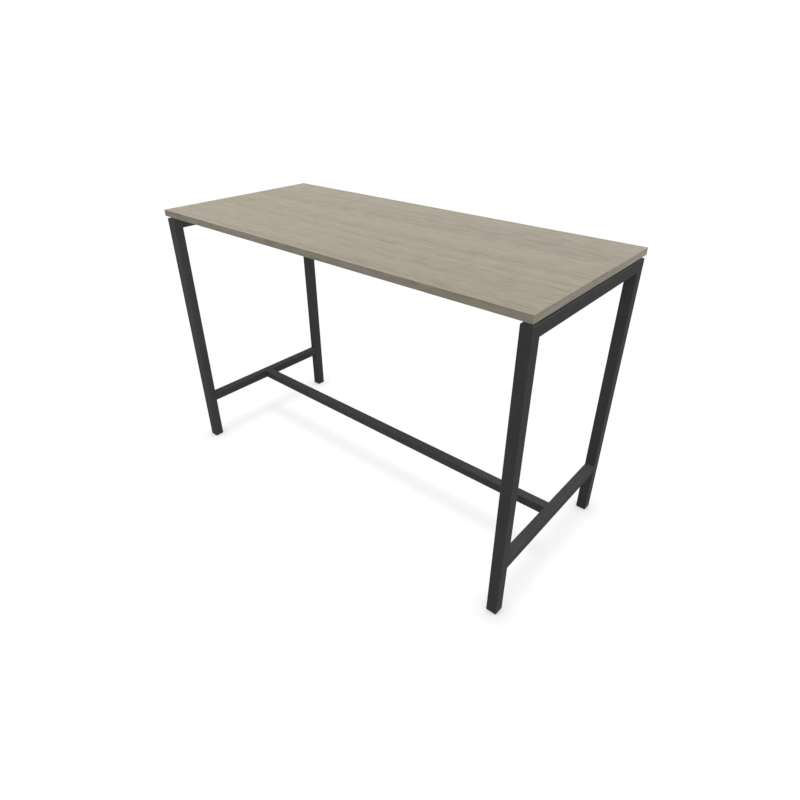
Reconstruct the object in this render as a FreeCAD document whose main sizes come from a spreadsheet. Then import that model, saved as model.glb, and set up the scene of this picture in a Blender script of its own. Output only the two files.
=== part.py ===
"""Standing meeting table: a laminate-faced board on two welded end frames.

Millimetres, +Z up. The origin is on the floor under the middle of the top, +X runs
along the table's length and -Y is its front long side. Each end frame is two legs, a
crossbar mitred onto them and a foot rail between them, all square tube. The frames are
tied together by a stretcher at foot height and by two beams hidden under the top. The
top stands clear of the frame on spacers, and each leg ends in a plug that holds a
screw-in foot.
"""
import FreeCAD, Part
import os
import re
import Sketcher

# Driving sizes: name, value in millimetres, what it is.
SIZES = (
    ("top_length", 1700, "length of the top"),
    ("top_depth", 750, "depth of the top"),
    ("table_height", 1110, "floor to the upper face of the top"),
    ("board_thickness", 25, "thickness of the finished top"),
    ("laminate_thickness", 0.8, "decor laminate and backing laminate"),
    ("band_thickness", 2, "edge band"),
    ("band_radius", 1, "rounding of the band's outer edges"),
    ("end_overhang", 1, "top beyond the frame at each end"),
    ("side_overhang", 6, "top beyond the frame at the front and back"),
    ("spacer_height", 10, "gap between the frame and the top"),
    ("spacer_radius", 9, "outer radius of a spacer"),
    ("leg_size", 40, "square tube of the legs and crossbars"),
    ("leg_wall", 2, "wall of that tube"),
    ("leg_corner", 2, "outer corner radius of that tube"),
    ("rail_size", 36, "square tube of the foot rails and stretcher"),
    ("rail_wall", 2, "wall of that tube"),
    ("rail_corner", 1.5, "outer corner radius of that tube"),
    ("rail_top", 230, "floor to the upper face of the foot rails and stretcher"),
    ("stretcher_gap", 0.3, "gap between each end of the stretcher and a foot rail"),
    ("spigot_length", 50, "reach of a spigot into the stretcher"),
    ("spigot_wall", 4, "wall of the spigot tube"),
    ("spigot_clearance", 0.25, "spigot to the stretcher's inner walls, each side"),
    ("spigot_screw_pitch", 22, "distance between a spigot's two screws"),
    ("beam_width", 20, "width of a beam's tube"),
    ("beam_height", 40, "height of a beam's tube"),
    ("beam_wall", 2, "wall of a beam's tube"),
    ("beam_corner", 2, "outer corner radius of a beam's tube"),
    ("beam_spacing", 360, "distance between the two beams' centres"),
    ("plate_thickness", 4, "end plate of a beam"),
    ("plate_width", 70, "width of that plate"),
    ("plate_margin", 2, "plate inside the beam's top and bottom, each"),
    ("plate_bolt_pitch", 44, "distance between a plate's two bolts"),
    ("crossbar_fixing_pitch", 260, "distance between the fixings on a crossbar"),
    ("beam_fixing_pitch", 550, "distance between the fixings on a beam"),
    ("thread_radius", 3, "M6 screw, outside of the thread"),
    ("thread_clearance", 0.05, "radial gap of a threaded or pressed fit"),
    ("hole_clearance", 0.4, "radial gap of a plain hole for a screw"),
    ("head_radius", 5.5, "head of an M6 screw or bolt"),
    ("head_height", 3.5, "height of that head"),
    ("socket_flats", 4, "hexagon socket in the head, across flats"),
    ("socket_depth", 2, "depth of that socket"),
    ("access_clearance", 1, "radial gap around a head in its access hole"),
    ("short_screw_length", 14, "screw of a beam plate or spigot, under its head"),
    ("insert_radius", 5, "threaded insert in the board"),
    ("insert_length", 13, "length of that insert"),
    ("insert_relief", 2, "hole in the board beyond the insert"),
    ("rivet_nut_radius", 4.5, "body of a rivet nut"),
    ("rivet_nut_length", 13, "length of a rivet nut"),
    ("rivet_collar_radius", 5.7, "upset collar behind the tube wall"),
    ("rivet_collar_length", 4, "length of that collar"),
    ("floor_gap", 1.5, "floor to the plug's lip with the foot screwed in"),
    ("lip_thickness", 2, "lip of a leg plug under the tube"),
    ("lip_inset", 0.4, "lip inside the tube's outline, each side"),
    ("plug_depth", 30, "plug inside the leg"),
    ("plug_clearance", 0.2, "plug to the leg's inner walls, each side"),
    ("leg_nut_radius", 6, "threaded nut held in a plug"),
    ("leg_nut_length", 12, "length of that nut"),
    ("stem_radius", 4, "M8 stem of a foot, outside of the thread"),
    ("stem_clearance", 0.3, "radial gap around the stem and its disc, off the thread"),
    ("foot_travel", 10, "how far a foot screws out"),
    ("plug_wall", 2.8, "plug around the pad's recess, at its thinnest"),
    ("recess_clearance", 1, "radial gap around the pad in the plug's recess"),
    ("pad_height", 5, "height of the foot pad on the floor"),
    ("pad_edge", 0.8, "chamfer of the pad's edges"),
    ("disc_radius", 5, "disc at the stem's end, held in the pad"),
    ("disc_height", 2.1, "height of that disc"),
    ("disc_play", 0.1, "disc to the socket's floor and to its ceiling"),
    ("socket_floor", 1.2, "pad under the disc"),
    ("collar_flats", 13, "hexagon collar of the stem, across flats"),
    ("collar_height", 4, "height of that collar"),
    ("collar_play", 0.2, "collar to the pad below and to the plug above"),
)

# Places worked out from the sizes, as formulas in their names.
FRAME_LENGTH = "(top_length - 2 * end_overhang)"
FRAME_DEPTH = "(top_depth - 2 * side_overhang)"
BOARD_BOTTOM = "(table_height - board_thickness)"
CORE_THICKNESS = "(board_thickness - 2 * laminate_thickness)"
BANDED_LENGTH = "(top_length - 2 * band_thickness)"
BANDED_DEPTH = "(top_depth - 2 * band_thickness)"
FRAME_TOP = f"({BOARD_BOTTOM} - spacer_height)"
LEG_X = f"(({FRAME_LENGTH} - leg_size) / 2)"
LEG_Y = f"(({FRAME_DEPTH} - leg_size) / 2)"
TUBE_BOTTOM = "(floor_gap + lip_thickness)"
LEG_LENGTH = f"({FRAME_TOP} - {TUBE_BOTTOM})"
CROSSBAR_Z = f"({FRAME_TOP} - leg_size / 2)"
CROSSBAR_INNER_X = f"({LEG_X} - leg_size / 2)"
RAIL_Z = "(rail_top - rail_size / 2)"
RAIL_INNER_X = f"({LEG_X} - rail_size / 2)"
RAIL_BOTTOM = "(rail_top - rail_size)"
SPIGOT_SIZE = "(rail_size - 2 * rail_wall - 2 * spigot_clearance)"
BEAM_Y = "(beam_spacing / 2)"
BEAM_Z = f"({FRAME_TOP} - beam_height / 2)"
PLATE_INNER_X = f"({CROSSBAR_INNER_X} - plate_thickness)"
PLATE_HEIGHT = "(beam_height - 2 * plate_margin)"
CLEAR_HOLE = "(thread_radius + hole_clearance)"
TAPPED_HOLE = "(thread_radius + thread_clearance)"
ACCESS_HOLE = "(head_radius + access_clearance)"
INSERT_HOLE = "(insert_radius + thread_clearance)"
RIVET_HOLE = "(rivet_nut_radius + thread_clearance)"
PLUG_SIZE = "(leg_size - 2 * leg_wall - 2 * plug_clearance)"
PLUG_TOP = "(lip_thickness + plug_depth)"
RECESS_RADIUS = f"({PLUG_SIZE} / 2 - plug_wall)"
PAD_RADIUS = f"({RECESS_RADIUS} - recess_clearance)"
STEM_HOLE = "(stem_radius + stem_clearance)"
DISC_BOTTOM = "(socket_floor + disc_play)"
COLLAR_BOTTOM = "(pad_height + collar_play)"
RECESS_CEILING = f"({COLLAR_BOTTOM} + collar_height + collar_play)"
STEM_TOP = f"(floor_gap + {PLUG_TOP} + foot_travel)"

ENDS = (("left", -1), ("right", 1))
SIDES = (("front", -1), ("back", 1))
TUBE_AXES = {"XY_Plane": 2, "XZ_Plane": 1, "YZ_Plane": 0}
HALF_TURN = FreeCAD.Rotation(FreeCAD.Vector(0, 0, 1), 180)
CORNER_PER_FLATS = 3 ** 0.5 / 3
NEAR = 1e-6
SIZE_NAME = re.compile("[a-z][a-z_]*")

document = FreeCAD.newDocument("MeetingTable")
sheet = document.addObject("Spreadsheet::Sheet", "Sizes")
size_values = {name: value for name, value, _ in SIZES}
parts = []


# Sheet, bodies and sketches

def fill_sheet():
    """Write each driving size into the sheet: its name, its value and what it is."""
    for line, (name, value, note) in enumerate(SIZES, start=1):
        sheet.set(f"A{line}", name)
        sheet.set(f"B{line}", str(value))
        sheet.set(f"C{line}", note)
        sheet.setAlias(f"B{line}", name)
    document.recompute()


def bind(item, target, formula):
    """Tie one property of an object to a formula in the names of the sizes."""
    item.setExpression(target, SIZE_NAME.sub(lambda word: f"Sizes.{word.group()}", formula))


def worked_out(formula):
    """Return a formula's value."""
    numbers = SIZE_NAME.sub(lambda word: str(size_values[word.group()]), formula)
    return FreeCAD.Units.Quantity(numbers).Value


def new_body(name, place=("0", "0", "0"), turned=False, pieces=1):
    """Start a sub-part at a place, turned half round about Z if it faces the other way."""
    body = document.addObject("PartDesign::Body", name)
    body.Label = name
    body.AllowCompound = pieces > 1
    body.Placement.Rotation = HALF_TURN if turned else FreeCAD.Rotation()
    for axis, formula in zip("xyz", place):
        bind(body, f"Placement.Base.{axis}", formula)
    parts.append((body, pieces))
    return body


def new_sketch(body, plane, offset="0"):
    """Start a sketch on one of the body's origin planes, moved along its normal."""
    planes = [item for item in body.Origin.OriginFeatures if item.Role == plane]
    sketch = body.newObject("Sketcher::SketchObject", f"{body.Name}_sketch")
    sketch.AttachmentSupport = [(planes[0], "")]
    sketch.MapMode = "FlatFace"
    bind(sketch, "AttachmentOffset.Base.z", offset)
    return sketch


def pin_point(sketch, geometry, point, across, up):
    """Fix one point of the sketch at a place given by two formulas."""
    for kind, formula in (("DistanceX", across), ("DistanceY", up)):
        value = worked_out(formula)
        rule = sketch.addConstraint(Sketcher.Constraint(kind, -1, 1, geometry, point, value))
        bind(sketch, f"Constraints[{rule}]", formula)


def draw_outline(sketch, corners):
    """Draw a closed outline of straight lines through its corners."""
    places = [FreeCAD.Vector(worked_out(across), worked_out(up), 0) for across, up in corners]
    lines = []
    for start, end in zip(places, places[1:] + places[:1]):
        lines.append(sketch.addGeometry(Part.LineSegment(start, end), False))
    for line, following in zip(lines, lines[1:] + lines[:1]):
        sketch.addConstraint(Sketcher.Constraint("Coincident", line, 2, following, 1))
    for line, (across, up) in zip(lines, corners):
        pin_point(sketch, line, 1, across, up)


def draw_rectangle(sketch, width, height):
    """Draw a rectangle about the sketch's origin."""
    signs = ((-1, -1), (1, -1), (1, 1), (-1, 1))
    draw_outline(sketch, [(f"{i} * {width} / 2", f"{j} * {height} / 2") for i, j in signs])


def draw_circles(sketch, centres, radius):
    """Draw one circle of the same radius about each centre."""
    for across, up in centres:
        middle = FreeCAD.Vector(worked_out(across), worked_out(up), 0)
        circle = Part.Circle(middle, FreeCAD.Vector(0, 0, 1), worked_out(radius))
        geometry = sketch.addGeometry(circle, False)
        pin_point(sketch, geometry, 3, across, up)
        rule = sketch.addConstraint(Sketcher.Constraint("Radius", geometry, worked_out(radius)))
        bind(sketch, f"Constraints[{rule}]", radius)


def draw_hexagons(sketch, centres, flats):
    """Draw one hexagon of the same size across flats about each centre."""
    corner = f"{CORNER_PER_FLATS} * {flats}"
    offsets = (
        (f"{corner}", "0"),
        (f"{corner} / 2", f"{flats} / 2"),
        (f"-{corner} / 2", f"{flats} / 2"),
        (f"-{corner}", "0"),
        (f"-{corner} / 2", f"-{flats} / 2"),
        (f"{corner} / 2", f"-{flats} / 2"),
    )
    for across, up in centres:
        draw_outline(sketch, [(f"{across} + ({dx})", f"{up} + ({dy})") for dx, dy in offsets])


# Features

def add_pad(body, sketch, length, centred=False):
    """Raise a sketch into a solid, along its plane's normal or evenly about the plane."""
    pad = body.newObject("PartDesign::Pad", f"{body.Name}_pad")
    pad.Profile = sketch
    pad.Midplane = centred
    bind(pad, "Length", length)
    document.recompute()
    return pad


def cut_pocket(body, sketch, reach):
    """Cut a sketch out of the solid, for a reach on both sides of its plane."""
    before = body.Shape.Volume
    pocket = body.newObject("PartDesign::Pocket", f"{body.Name}_pocket")
    pocket.Profile = sketch
    pocket.Midplane = True
    bind(pocket, "Length", f"2 * {reach}")
    document.recompute()
    if body.Shape.Volume > before - NEAR:
        raise RuntimeError(f"{pocket.Name} cuts nothing")


def dress_edges(body, feature, kind, size, chosen):
    """Fillet or chamfer the edges of a feature whose two end points pass a test."""
    names = []
    for number, edge in enumerate(feature.Shape.Edges, start=1):
        if chosen(edge.Vertexes[0].Point, edge.Vertexes[-1].Point):
            names.append(f"Edge{number}")
    dressing = body.newObject(f"PartDesign::{kind}", f"{body.Name}_{kind.lower()}")
    dressing.Base = (feature, names)
    bind(dressing, "Radius" if kind == "Fillet" else "Size", size)
    document.recompute()


def round_outer_corners(body, feature, along, width, radius):
    """Round the four outer corners that run along a tube or block of a given width."""
    across = 1 if along == 0 else 0

    def runs_along(start, end):
        on_outside = abs(abs(start[across]) - worked_out(width) / 2) < NEAR
        return on_outside and abs(start[along] - end[along]) > NEAR

    dress_edges(body, feature, "Fillet", radius, runs_along)


def make_tube(body, plane, width, height, wall, corner, length, start=None):
    """Make a rectangular tube along a plane's normal, about the plane or from a start."""
    sketch = new_sketch(body, plane, start or "0")
    draw_rectangle(sketch, width, height)
    draw_rectangle(sketch, f"({width} - 2 * {wall})", f"({height} - 2 * {wall})")
    pad = add_pad(body, sketch, length, centred=start is None)
    round_outer_corners(body, pad, TUBE_AXES[plane], width, corner)


def raise_rectangle(body, plane, width, height, thickness, start="0"):
    """Add a rectangular block from a plane along its normal."""
    sketch = new_sketch(body, plane, start)
    draw_rectangle(sketch, width, height)
    return add_pad(body, sketch, thickness)


def raise_rounds(body, plane, start, centres, radius, length, bore=None):
    """Add round studs, or rings with a bore, from a plane along its normal."""
    sketch = new_sketch(body, plane, start)
    draw_circles(sketch, centres, radius)
    if bore:
        draw_circles(sketch, centres, bore)
    return add_pad(body, sketch, length)


def drill(body, plane, offset, centres, radius, reach):
    """Drill round holes, for a reach on both sides of a plane."""
    sketch = new_sketch(body, plane, offset)
    draw_circles(sketch, centres, radius)
    cut_pocket(body, sketch, reach)


def raise_screws(body, plane, seat, centres, length):
    """Add socket-head screws whose heads end at the seat and whose shanks go on from it."""
    head_face = f"{seat} - head_height"
    raise_rounds(body, plane, head_face, centres, "head_radius", "head_height")
    sockets = new_sketch(body, plane, head_face)
    draw_hexagons(sockets, centres, "socket_flats")
    cut_pocket(body, sockets, "socket_depth")
    raise_rounds(body, plane, seat, centres, "thread_radius", length)


# Places that several sub-parts share

def crossbar_fixings(across="0"):
    """Return the places along a crossbar where the top is held."""
    return [(across, f"{step} * crossbar_fixing_pitch") for step in (-1, 0, 1)]


def beam_fixings(up="0"):
    """Return the places along a beam where the top is held."""
    return [(f"{step} * beam_fixing_pitch", up) for step in (-1, 0, 1)]


def all_crossbar_fixings():
    """Return the places of the fixings over both crossbars."""
    return [place for _, right in ENDS for place in crossbar_fixings(f"{right} * {LEG_X}")]


def all_beam_fixings():
    """Return the places of the fixings over both beams."""
    return [place for _, back in SIDES for place in beam_fixings(f"{back} * {BEAM_Y}")]


def plate_bolts(middle="0"):
    """Return the places of a beam plate's two bolts about its middle."""
    return [(f"{middle} + {step} * plate_bolt_pitch / 2", "0") for step in (-1, 1)]


def all_plate_bolts():
    """Return the places of the bolts at one end of both beams."""
    return [place for _, back in SIDES for place in plate_bolts(f"{back} * {BEAM_Y}")]


def spigot_screws(middle):
    """Return the places of a spigot's two screws about its middle."""
    return [(f"{middle} + {step} * spigot_screw_pitch / 2", "0") for step in (-1, 1)]


def leg_places():
    """Yield each leg's name, its place in plan and whether it stands at the back."""
    for side, back in SIDES:
        for end, right in ENDS:
            yield f"{side}_{end}", (f"{right} * {LEG_X}", f"{back} * {LEG_Y}"), back > 0


# The top

def make_layer(name, bottom, thickness):
    """Make one layer of the board inside the edge bands."""
    layer = new_body(name, ("0", "0", bottom))
    raise_rectangle(layer, "XY_Plane", BANDED_LENGTH, BANDED_DEPTH, thickness)
    return layer


def make_board():
    """Make the core and its two laminates, with blind holes from below for the inserts."""
    fixings = all_crossbar_fixings() + all_beam_fixings()
    core = make_layer("top_core", f"{BOARD_BOTTOM} + laminate_thickness", CORE_THICKNESS)
    reach = "(insert_length + insert_relief - laminate_thickness)"
    drill(core, "XY_Plane", "0", fixings, INSERT_HOLE, reach)
    make_layer("decor_laminate", "table_height - laminate_thickness", "laminate_thickness")
    backing = make_layer("backing_laminate", BOARD_BOTTOM, "laminate_thickness")
    drill(backing, "XY_Plane", "0", fixings, INSERT_HOLE, "(2 * laminate_thickness)")


def make_edge_bands():
    """Make the edge bands: the front and back ones cover the ends of the other two."""
    outside = size_values["band_thickness"] / 2

    def off_board(start, end):
        return start.y < outside - NEAR or end.y < outside - NEAR

    def outer_long(start, end):
        return min(start.x, end.x) > outside - NEAR and abs(start.y - end.y) > NEAR

    for side, back in SIDES:
        place = ("0", f"{back} * (top_depth - band_thickness) / 2", BOARD_BOTTOM)
        band = new_body(f"edge_band_{side}", place, turned=back > 0)
        strip = raise_rectangle(band, "XY_Plane", "top_length", "band_thickness", "board_thickness")
        dress_edges(band, strip, "Fillet", "band_radius", off_board)
    for end, right in ENDS:
        place = (f"{right} * (top_length - band_thickness) / 2", "0", BOARD_BOTTOM)
        band = new_body(f"edge_band_{end}", place, turned=right < 0)
        strip = raise_rectangle(band, "XY_Plane", "band_thickness", BANDED_DEPTH, "board_thickness")
        dress_edges(band, strip, "Fillet", "band_radius", outer_long)


# The end frames

def make_legs():
    """Make the four legs, each mitred at the top towards the middle of the table."""
    mitre = (
        ("-1.5 * leg_size", f"{LEG_LENGTH} + leg_size"),
        ("leg_size", f"{LEG_LENGTH} + leg_size"),
        ("leg_size", f"{LEG_LENGTH} - 1.5 * leg_size"),
    )
    for name, (across, along), at_back in leg_places():
        leg = new_body(f"leg_{name}", (across, along, TUBE_BOTTOM), turned=at_back)
        make_tube(leg, "XY_Plane", "leg_size", "leg_size", "leg_wall", "leg_corner", LEG_LENGTH, start="0")
        sketch = new_sketch(leg, "YZ_Plane")
        draw_outline(sketch, mitre)
        cut_pocket(leg, sketch, "leg_size")


def make_crossbars():
    """Make the two crossbars: mitred ends, and holes for the top's screws and rivet nuts."""
    for end, right in ENDS:
        place = (f"{right} * {LEG_X}", "0", CROSSBAR_Z)
        bar = new_body(f"crossbar_{end}", place, turned=right < 0)
        make_tube(bar, "XZ_Plane", "leg_size", "leg_size", "leg_wall", "leg_corner", FRAME_DEPTH)
        for _, back in SIDES:
            sketch = new_sketch(bar, "YZ_Plane")
            draw_outline(sketch, (
                (f"{back} * ({FRAME_DEPTH} / 2 + leg_size)", "1.5 * leg_size"),
                (f"{back} * ({FRAME_DEPTH} / 2 - 2 * leg_size)", "-1.5 * leg_size"),
                (f"{back} * ({FRAME_DEPTH} / 2 + leg_size)", "-1.5 * leg_size"),
            ))
            cut_pocket(bar, sketch, "leg_size")
        drill(bar, "XY_Plane", "leg_size / 2", crossbar_fixings(), CLEAR_HOLE, "2 * leg_wall")
        drill(bar, "XY_Plane", "-leg_size / 2", crossbar_fixings(), ACCESS_HOLE, "2 * leg_wall")
        nut_places = [(across, f"{BEAM_Z} - {CROSSBAR_Z}") for across, _ in all_plate_bolts()]
        drill(bar, "YZ_Plane", "-leg_size / 2", nut_places, RIVET_HOLE, "2 * leg_wall")


def make_foot_rails():
    """Make the two foot rails, each between the legs of one end frame."""
    length = f"({FRAME_DEPTH} - 2 * leg_size)"
    for end, right in ENDS:
        rail = new_body(f"foot_rail_{end}", (f"{right} * {LEG_X}", "0", RAIL_Z))
        make_tube(rail, "XZ_Plane", "rail_size", "rail_size", "rail_wall", "rail_corner", length)


def make_spigots():
    """Make the spigot on each foot rail that the stretcher slides over."""
    for end, right in ENDS:
        place = (f"{right} * {RAIL_INNER_X}", "0", RAIL_Z)
        spigot = new_body(f"stretcher_spigot_{end}", place, turned=right < 0)
        make_tube(spigot, "YZ_Plane", SPIGOT_SIZE, SPIGOT_SIZE, "spigot_wall", "rail_corner",
                  "spigot_length", start="-spigot_length")
        drill(spigot, "XY_Plane", f"-{SPIGOT_SIZE} / 2", spigot_screws("-spigot_length / 2"),
              TAPPED_HOLE, "2 * spigot_wall")


def make_stretcher():
    """Make the stretcher and the screws that hold it to the spigots from below."""
    holes = []
    for _, right in ENDS:
        holes += spigot_screws(f"{right} * ({RAIL_INNER_X} - spigot_length / 2)")
    stretcher = new_body("stretcher", ("0", "0", RAIL_Z))
    make_tube(stretcher, "YZ_Plane", "rail_size", "rail_size", "rail_wall", "rail_corner",
              f"(2 * {RAIL_INNER_X} - 2 * stretcher_gap)")
    drill(stretcher, "XY_Plane", "-rail_size / 2", holes, CLEAR_HOLE, "2 * rail_wall")
    screws = new_body("stretcher_screws", ("0", "0", RAIL_BOTTOM), pieces=len(holes))
    raise_screws(screws, "XY_Plane", "0", holes, "short_screw_length")


# The beams under the top

def make_beams():
    """Make the two beams that tie the crossbars together and carry the top."""
    for side, back in SIDES:
        beam = new_body(f"beam_{side}", ("0", f"{back} * {BEAM_Y}", BEAM_Z))
        make_tube(beam, "YZ_Plane", "beam_width", "beam_height", "beam_wall", "beam_corner",
                  f"(2 * {PLATE_INNER_X})")
        drill(beam, "XY_Plane", "beam_height / 2", beam_fixings(), CLEAR_HOLE, "2 * beam_wall")
        drill(beam, "XY_Plane", "-beam_height / 2", beam_fixings(), ACCESS_HOLE, "2 * beam_wall")


def make_beam_ends():
    """Make the plate at each end of each beam, with its bolts and rivet nuts."""
    for end, right in ENDS:
        for side, back in SIDES:
            place = (f"{right} * {PLATE_INNER_X}", f"{back} * {BEAM_Y}", BEAM_Z)
            plate = new_body(f"beam_plate_{side}_{end}", place, turned=right < 0)
            raise_rectangle(plate, "YZ_Plane", "plate_width", PLATE_HEIGHT, "plate_thickness")
            drill(plate, "YZ_Plane", "0", plate_bolts(), CLEAR_HOLE, "2 * plate_thickness")
        centres = all_plate_bolts()
        place = (f"{right} * {PLATE_INNER_X}", "0", BEAM_Z)
        bolts = new_body(f"beam_bolts_{end}", place, turned=right < 0, pieces=len(centres))
        raise_screws(bolts, "YZ_Plane", "0", centres, "short_screw_length")
        place = (f"{right} * {CROSSBAR_INNER_X}", "0", BEAM_Z)
        nuts = new_body(f"rivet_nuts_{end}", place, turned=right < 0, pieces=len(centres))
        raise_rounds(nuts, "YZ_Plane", "0", centres, "rivet_nut_radius", "rivet_nut_length", TAPPED_HOLE)
        raise_rounds(nuts, "YZ_Plane", "leg_wall", centres, "rivet_collar_radius", "rivet_collar_length",
                     TAPPED_HOLE)


def make_top_fixings():
    """Make the spacers, threaded inserts and screws that hold the top to the frame."""
    over_crossbars = all_crossbar_fixings()
    over_beams = all_beam_fixings()
    everywhere = over_crossbars + over_beams
    spacers = new_body("top_spacers", ("0", "0", FRAME_TOP), pieces=len(everywhere))
    raise_rounds(spacers, "XY_Plane", "0", everywhere, "spacer_radius", "spacer_height", CLEAR_HOLE)
    inserts = new_body("top_inserts", ("0", "0", BOARD_BOTTOM), pieces=len(everywhere))
    raise_rounds(inserts, "XY_Plane", "0", everywhere, "insert_radius", "insert_length", TAPPED_HOLE)
    screws = new_body("top_screws", ("0", "0", FRAME_TOP), pieces=len(everywhere))
    for wall, places in (("leg_wall", over_crossbars), ("beam_wall", over_beams)):
        raise_screws(screws, "XY_Plane", f"-{wall}", places, f"({wall} + spacer_height + insert_length)")


# The feet

def make_plug(name, across, along):
    """Make the plug in a leg's end: a lip, a recess for the pad and a seat for the nut."""
    centre = [("0", "0")]
    plug = new_body(f"leg_plug_{name}", (across, along, "floor_gap"))
    lip_size = "(leg_size - 2 * lip_inset)"
    lip = raise_rectangle(plug, "XY_Plane", lip_size, lip_size, "lip_thickness")
    round_outer_corners(plug, lip, TUBE_AXES["XY_Plane"], lip_size, "leg_corner")
    raise_rectangle(plug, "XY_Plane", PLUG_SIZE, PLUG_SIZE, "plug_depth", start="lip_thickness")
    drill(plug, "XY_Plane", "0", centre, RECESS_RADIUS, f"({RECESS_CEILING} - floor_gap)")
    drill(plug, "XY_Plane", PLUG_TOP, centre, "(leg_nut_radius + thread_clearance)", "leg_nut_length")
    drill(plug, "XY_Plane", "0", centre, STEM_HOLE, f"({PLUG_TOP} + lip_thickness)")


def make_stem(name, across, along):
    """Make the threaded stem: a disc held in the pad, a hexagon collar and the thread."""
    centre = [("0", "0")]
    stem = new_body(f"foot_stem_{name}", (across, along, "0"))
    raise_rounds(stem, "XY_Plane", DISC_BOTTOM, centre, "disc_radius", "disc_height")
    raise_rounds(stem, "XY_Plane", DISC_BOTTOM, centre, "stem_radius", f"({STEM_TOP} - {DISC_BOTTOM})")
    sketch = new_sketch(stem, "XY_Plane", COLLAR_BOTTOM)
    draw_hexagons(sketch, centre, "collar_flats")
    add_pad(stem, sketch, "collar_height")


def make_foot_pad(name, across, along):
    """Make the round pad, with a socket that the stem's disc turns in."""
    centre = [("0", "0")]
    pad = new_body(f"foot_pad_{name}", (across, along, "0"))
    puck = raise_rounds(pad, "XY_Plane", "0", centre, PAD_RADIUS, "pad_height")
    dress_edges(pad, puck, "Chamfer", "pad_edge", lambda start, end: abs(start.z - end.z) < NEAR)
    drill(pad, "XY_Plane", f"{DISC_BOTTOM} + disc_height / 2", centre,
          "(disc_radius + stem_clearance)", "(disc_height / 2 + disc_play)")
    drill(pad, "XY_Plane", "pad_height", centre, STEM_HOLE, f"(pad_height - {DISC_BOTTOM})")


def make_feet():
    """Make each leg's plug, stem and pad, and the nuts that the stems turn in."""
    places = list(leg_places())
    for name, (across, along), _ in places:
        make_plug(name, across, along)
        make_stem(name, across, along)
        make_foot_pad(name, across, along)
    nuts = new_body("leg_nuts", ("0", "0", f"floor_gap + {PLUG_TOP} - leg_nut_length"), pieces=len(places))
    raise_rounds(nuts, "XY_Plane", "0", [place for _, place, _ in places], "leg_nut_radius",
                 "leg_nut_length", "(stem_radius + thread_clearance)")


# Checking and writing

def check_document():
    """Stop on a failed feature, a broken shape or a wrong number of solids."""
    for item in document.Objects:
        if "Invalid" in item.State or "Error" in item.State:
            raise RuntimeError(f"{item.Name} is {item.State}")
    for body, pieces in parts:
        if body.Shape.isNull() or not body.Shape.isValid():
            raise RuntimeError(f"{body.Label} has no valid shape")
        if len(body.Shape.Solids) != pieces:
            raise RuntimeError(f"{body.Label} has {len(body.Shape.Solids)} solids, not {pieces}")


def write_parts():
    """Write each sub-part to its own file."""
    os.makedirs("parts", exist_ok=True)
    for body, pieces in parts:
        body.Shape.exportStep(f"parts/{body.Label}.step")
        print(f"{body.Label}: {pieces} solids, {body.Shape.Volume / 1000:.2f} cm3")


fill_sheet()
make_board()
make_edge_bands()
make_legs()
make_crossbars()
make_foot_rails()
make_spigots()
make_stretcher()
make_beams()
make_beam_ends()
make_top_fixings()
make_feet()
document.recompute()
check_document()
write_parts()
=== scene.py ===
"""Looks of a standing meeting table: its board, tube frame, fixings and feet.

Everything is in metres, +Z up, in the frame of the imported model: the origin is on the
floor under the middle of the top, +X runs along the table and -Y is its front long side.
Each sub-assembly is a class that models its pieces where they belong and dresses them.
"""

import functools
import logging
import math
from dataclasses import dataclass
from enum import Enum
from typing import Callable, Sequence

import bmesh
import bpy
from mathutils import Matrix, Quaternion, Vector


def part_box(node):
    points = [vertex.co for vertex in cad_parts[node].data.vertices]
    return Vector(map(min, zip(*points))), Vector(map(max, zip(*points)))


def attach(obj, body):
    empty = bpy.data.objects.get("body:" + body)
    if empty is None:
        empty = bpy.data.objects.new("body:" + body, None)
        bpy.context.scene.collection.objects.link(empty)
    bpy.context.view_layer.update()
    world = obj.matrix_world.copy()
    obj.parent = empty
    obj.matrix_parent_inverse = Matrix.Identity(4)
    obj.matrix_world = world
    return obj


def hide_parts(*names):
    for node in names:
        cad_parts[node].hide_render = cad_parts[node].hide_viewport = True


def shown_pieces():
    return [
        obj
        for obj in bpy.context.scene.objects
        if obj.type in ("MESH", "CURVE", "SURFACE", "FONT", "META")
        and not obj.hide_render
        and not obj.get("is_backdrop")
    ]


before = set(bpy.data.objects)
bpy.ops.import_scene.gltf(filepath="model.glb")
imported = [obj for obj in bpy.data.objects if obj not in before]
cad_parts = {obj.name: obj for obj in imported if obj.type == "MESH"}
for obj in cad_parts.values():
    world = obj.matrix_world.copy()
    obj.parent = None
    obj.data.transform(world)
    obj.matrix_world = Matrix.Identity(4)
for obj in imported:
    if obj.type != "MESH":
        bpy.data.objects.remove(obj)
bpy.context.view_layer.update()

TABLE = "table"
EDGE_LAYER = "edge"
MM = 0.001
LEFT_RIGHT = (("left", -1), ("right", 1))
FRONT_BACK = (("front", -1), ("back", 1))
LEGS = tuple(f"{side}_{end}" for side, _ in FRONT_BACK for end, _ in LEFT_RIGHT)

# Two places nearer than the first are the same, and corners nearer than the second merge.
NEAR = 1e-6
MERGE = 2e-6
# A face looks straight along a direction when its normal has at least this share of it.
SQUARE_ON = 0.999
# Steps of a full turn, for small turned pieces, for drilled holes and for the pads.
SMALL_STEPS = 40
HOLE_STEPS = 48
PAD_STEPS = 72
# Faces that meet at less than this are shaded as one.
SMOOTH_BELOW = math.radians(32)
# An edge wears where faces meet at more than this, on the faces narrower than this.
WORN_BEND = math.radians(10)
WORN_WIDTH = 3 * MM
# Most of a noise texture's values lie between these.
NOISE_LOW = 0.3
NOISE_HIGH = 0.7
WHITE = (1, 1, 1, 1)
BLACK = (0, 0, 0, 1)
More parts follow.
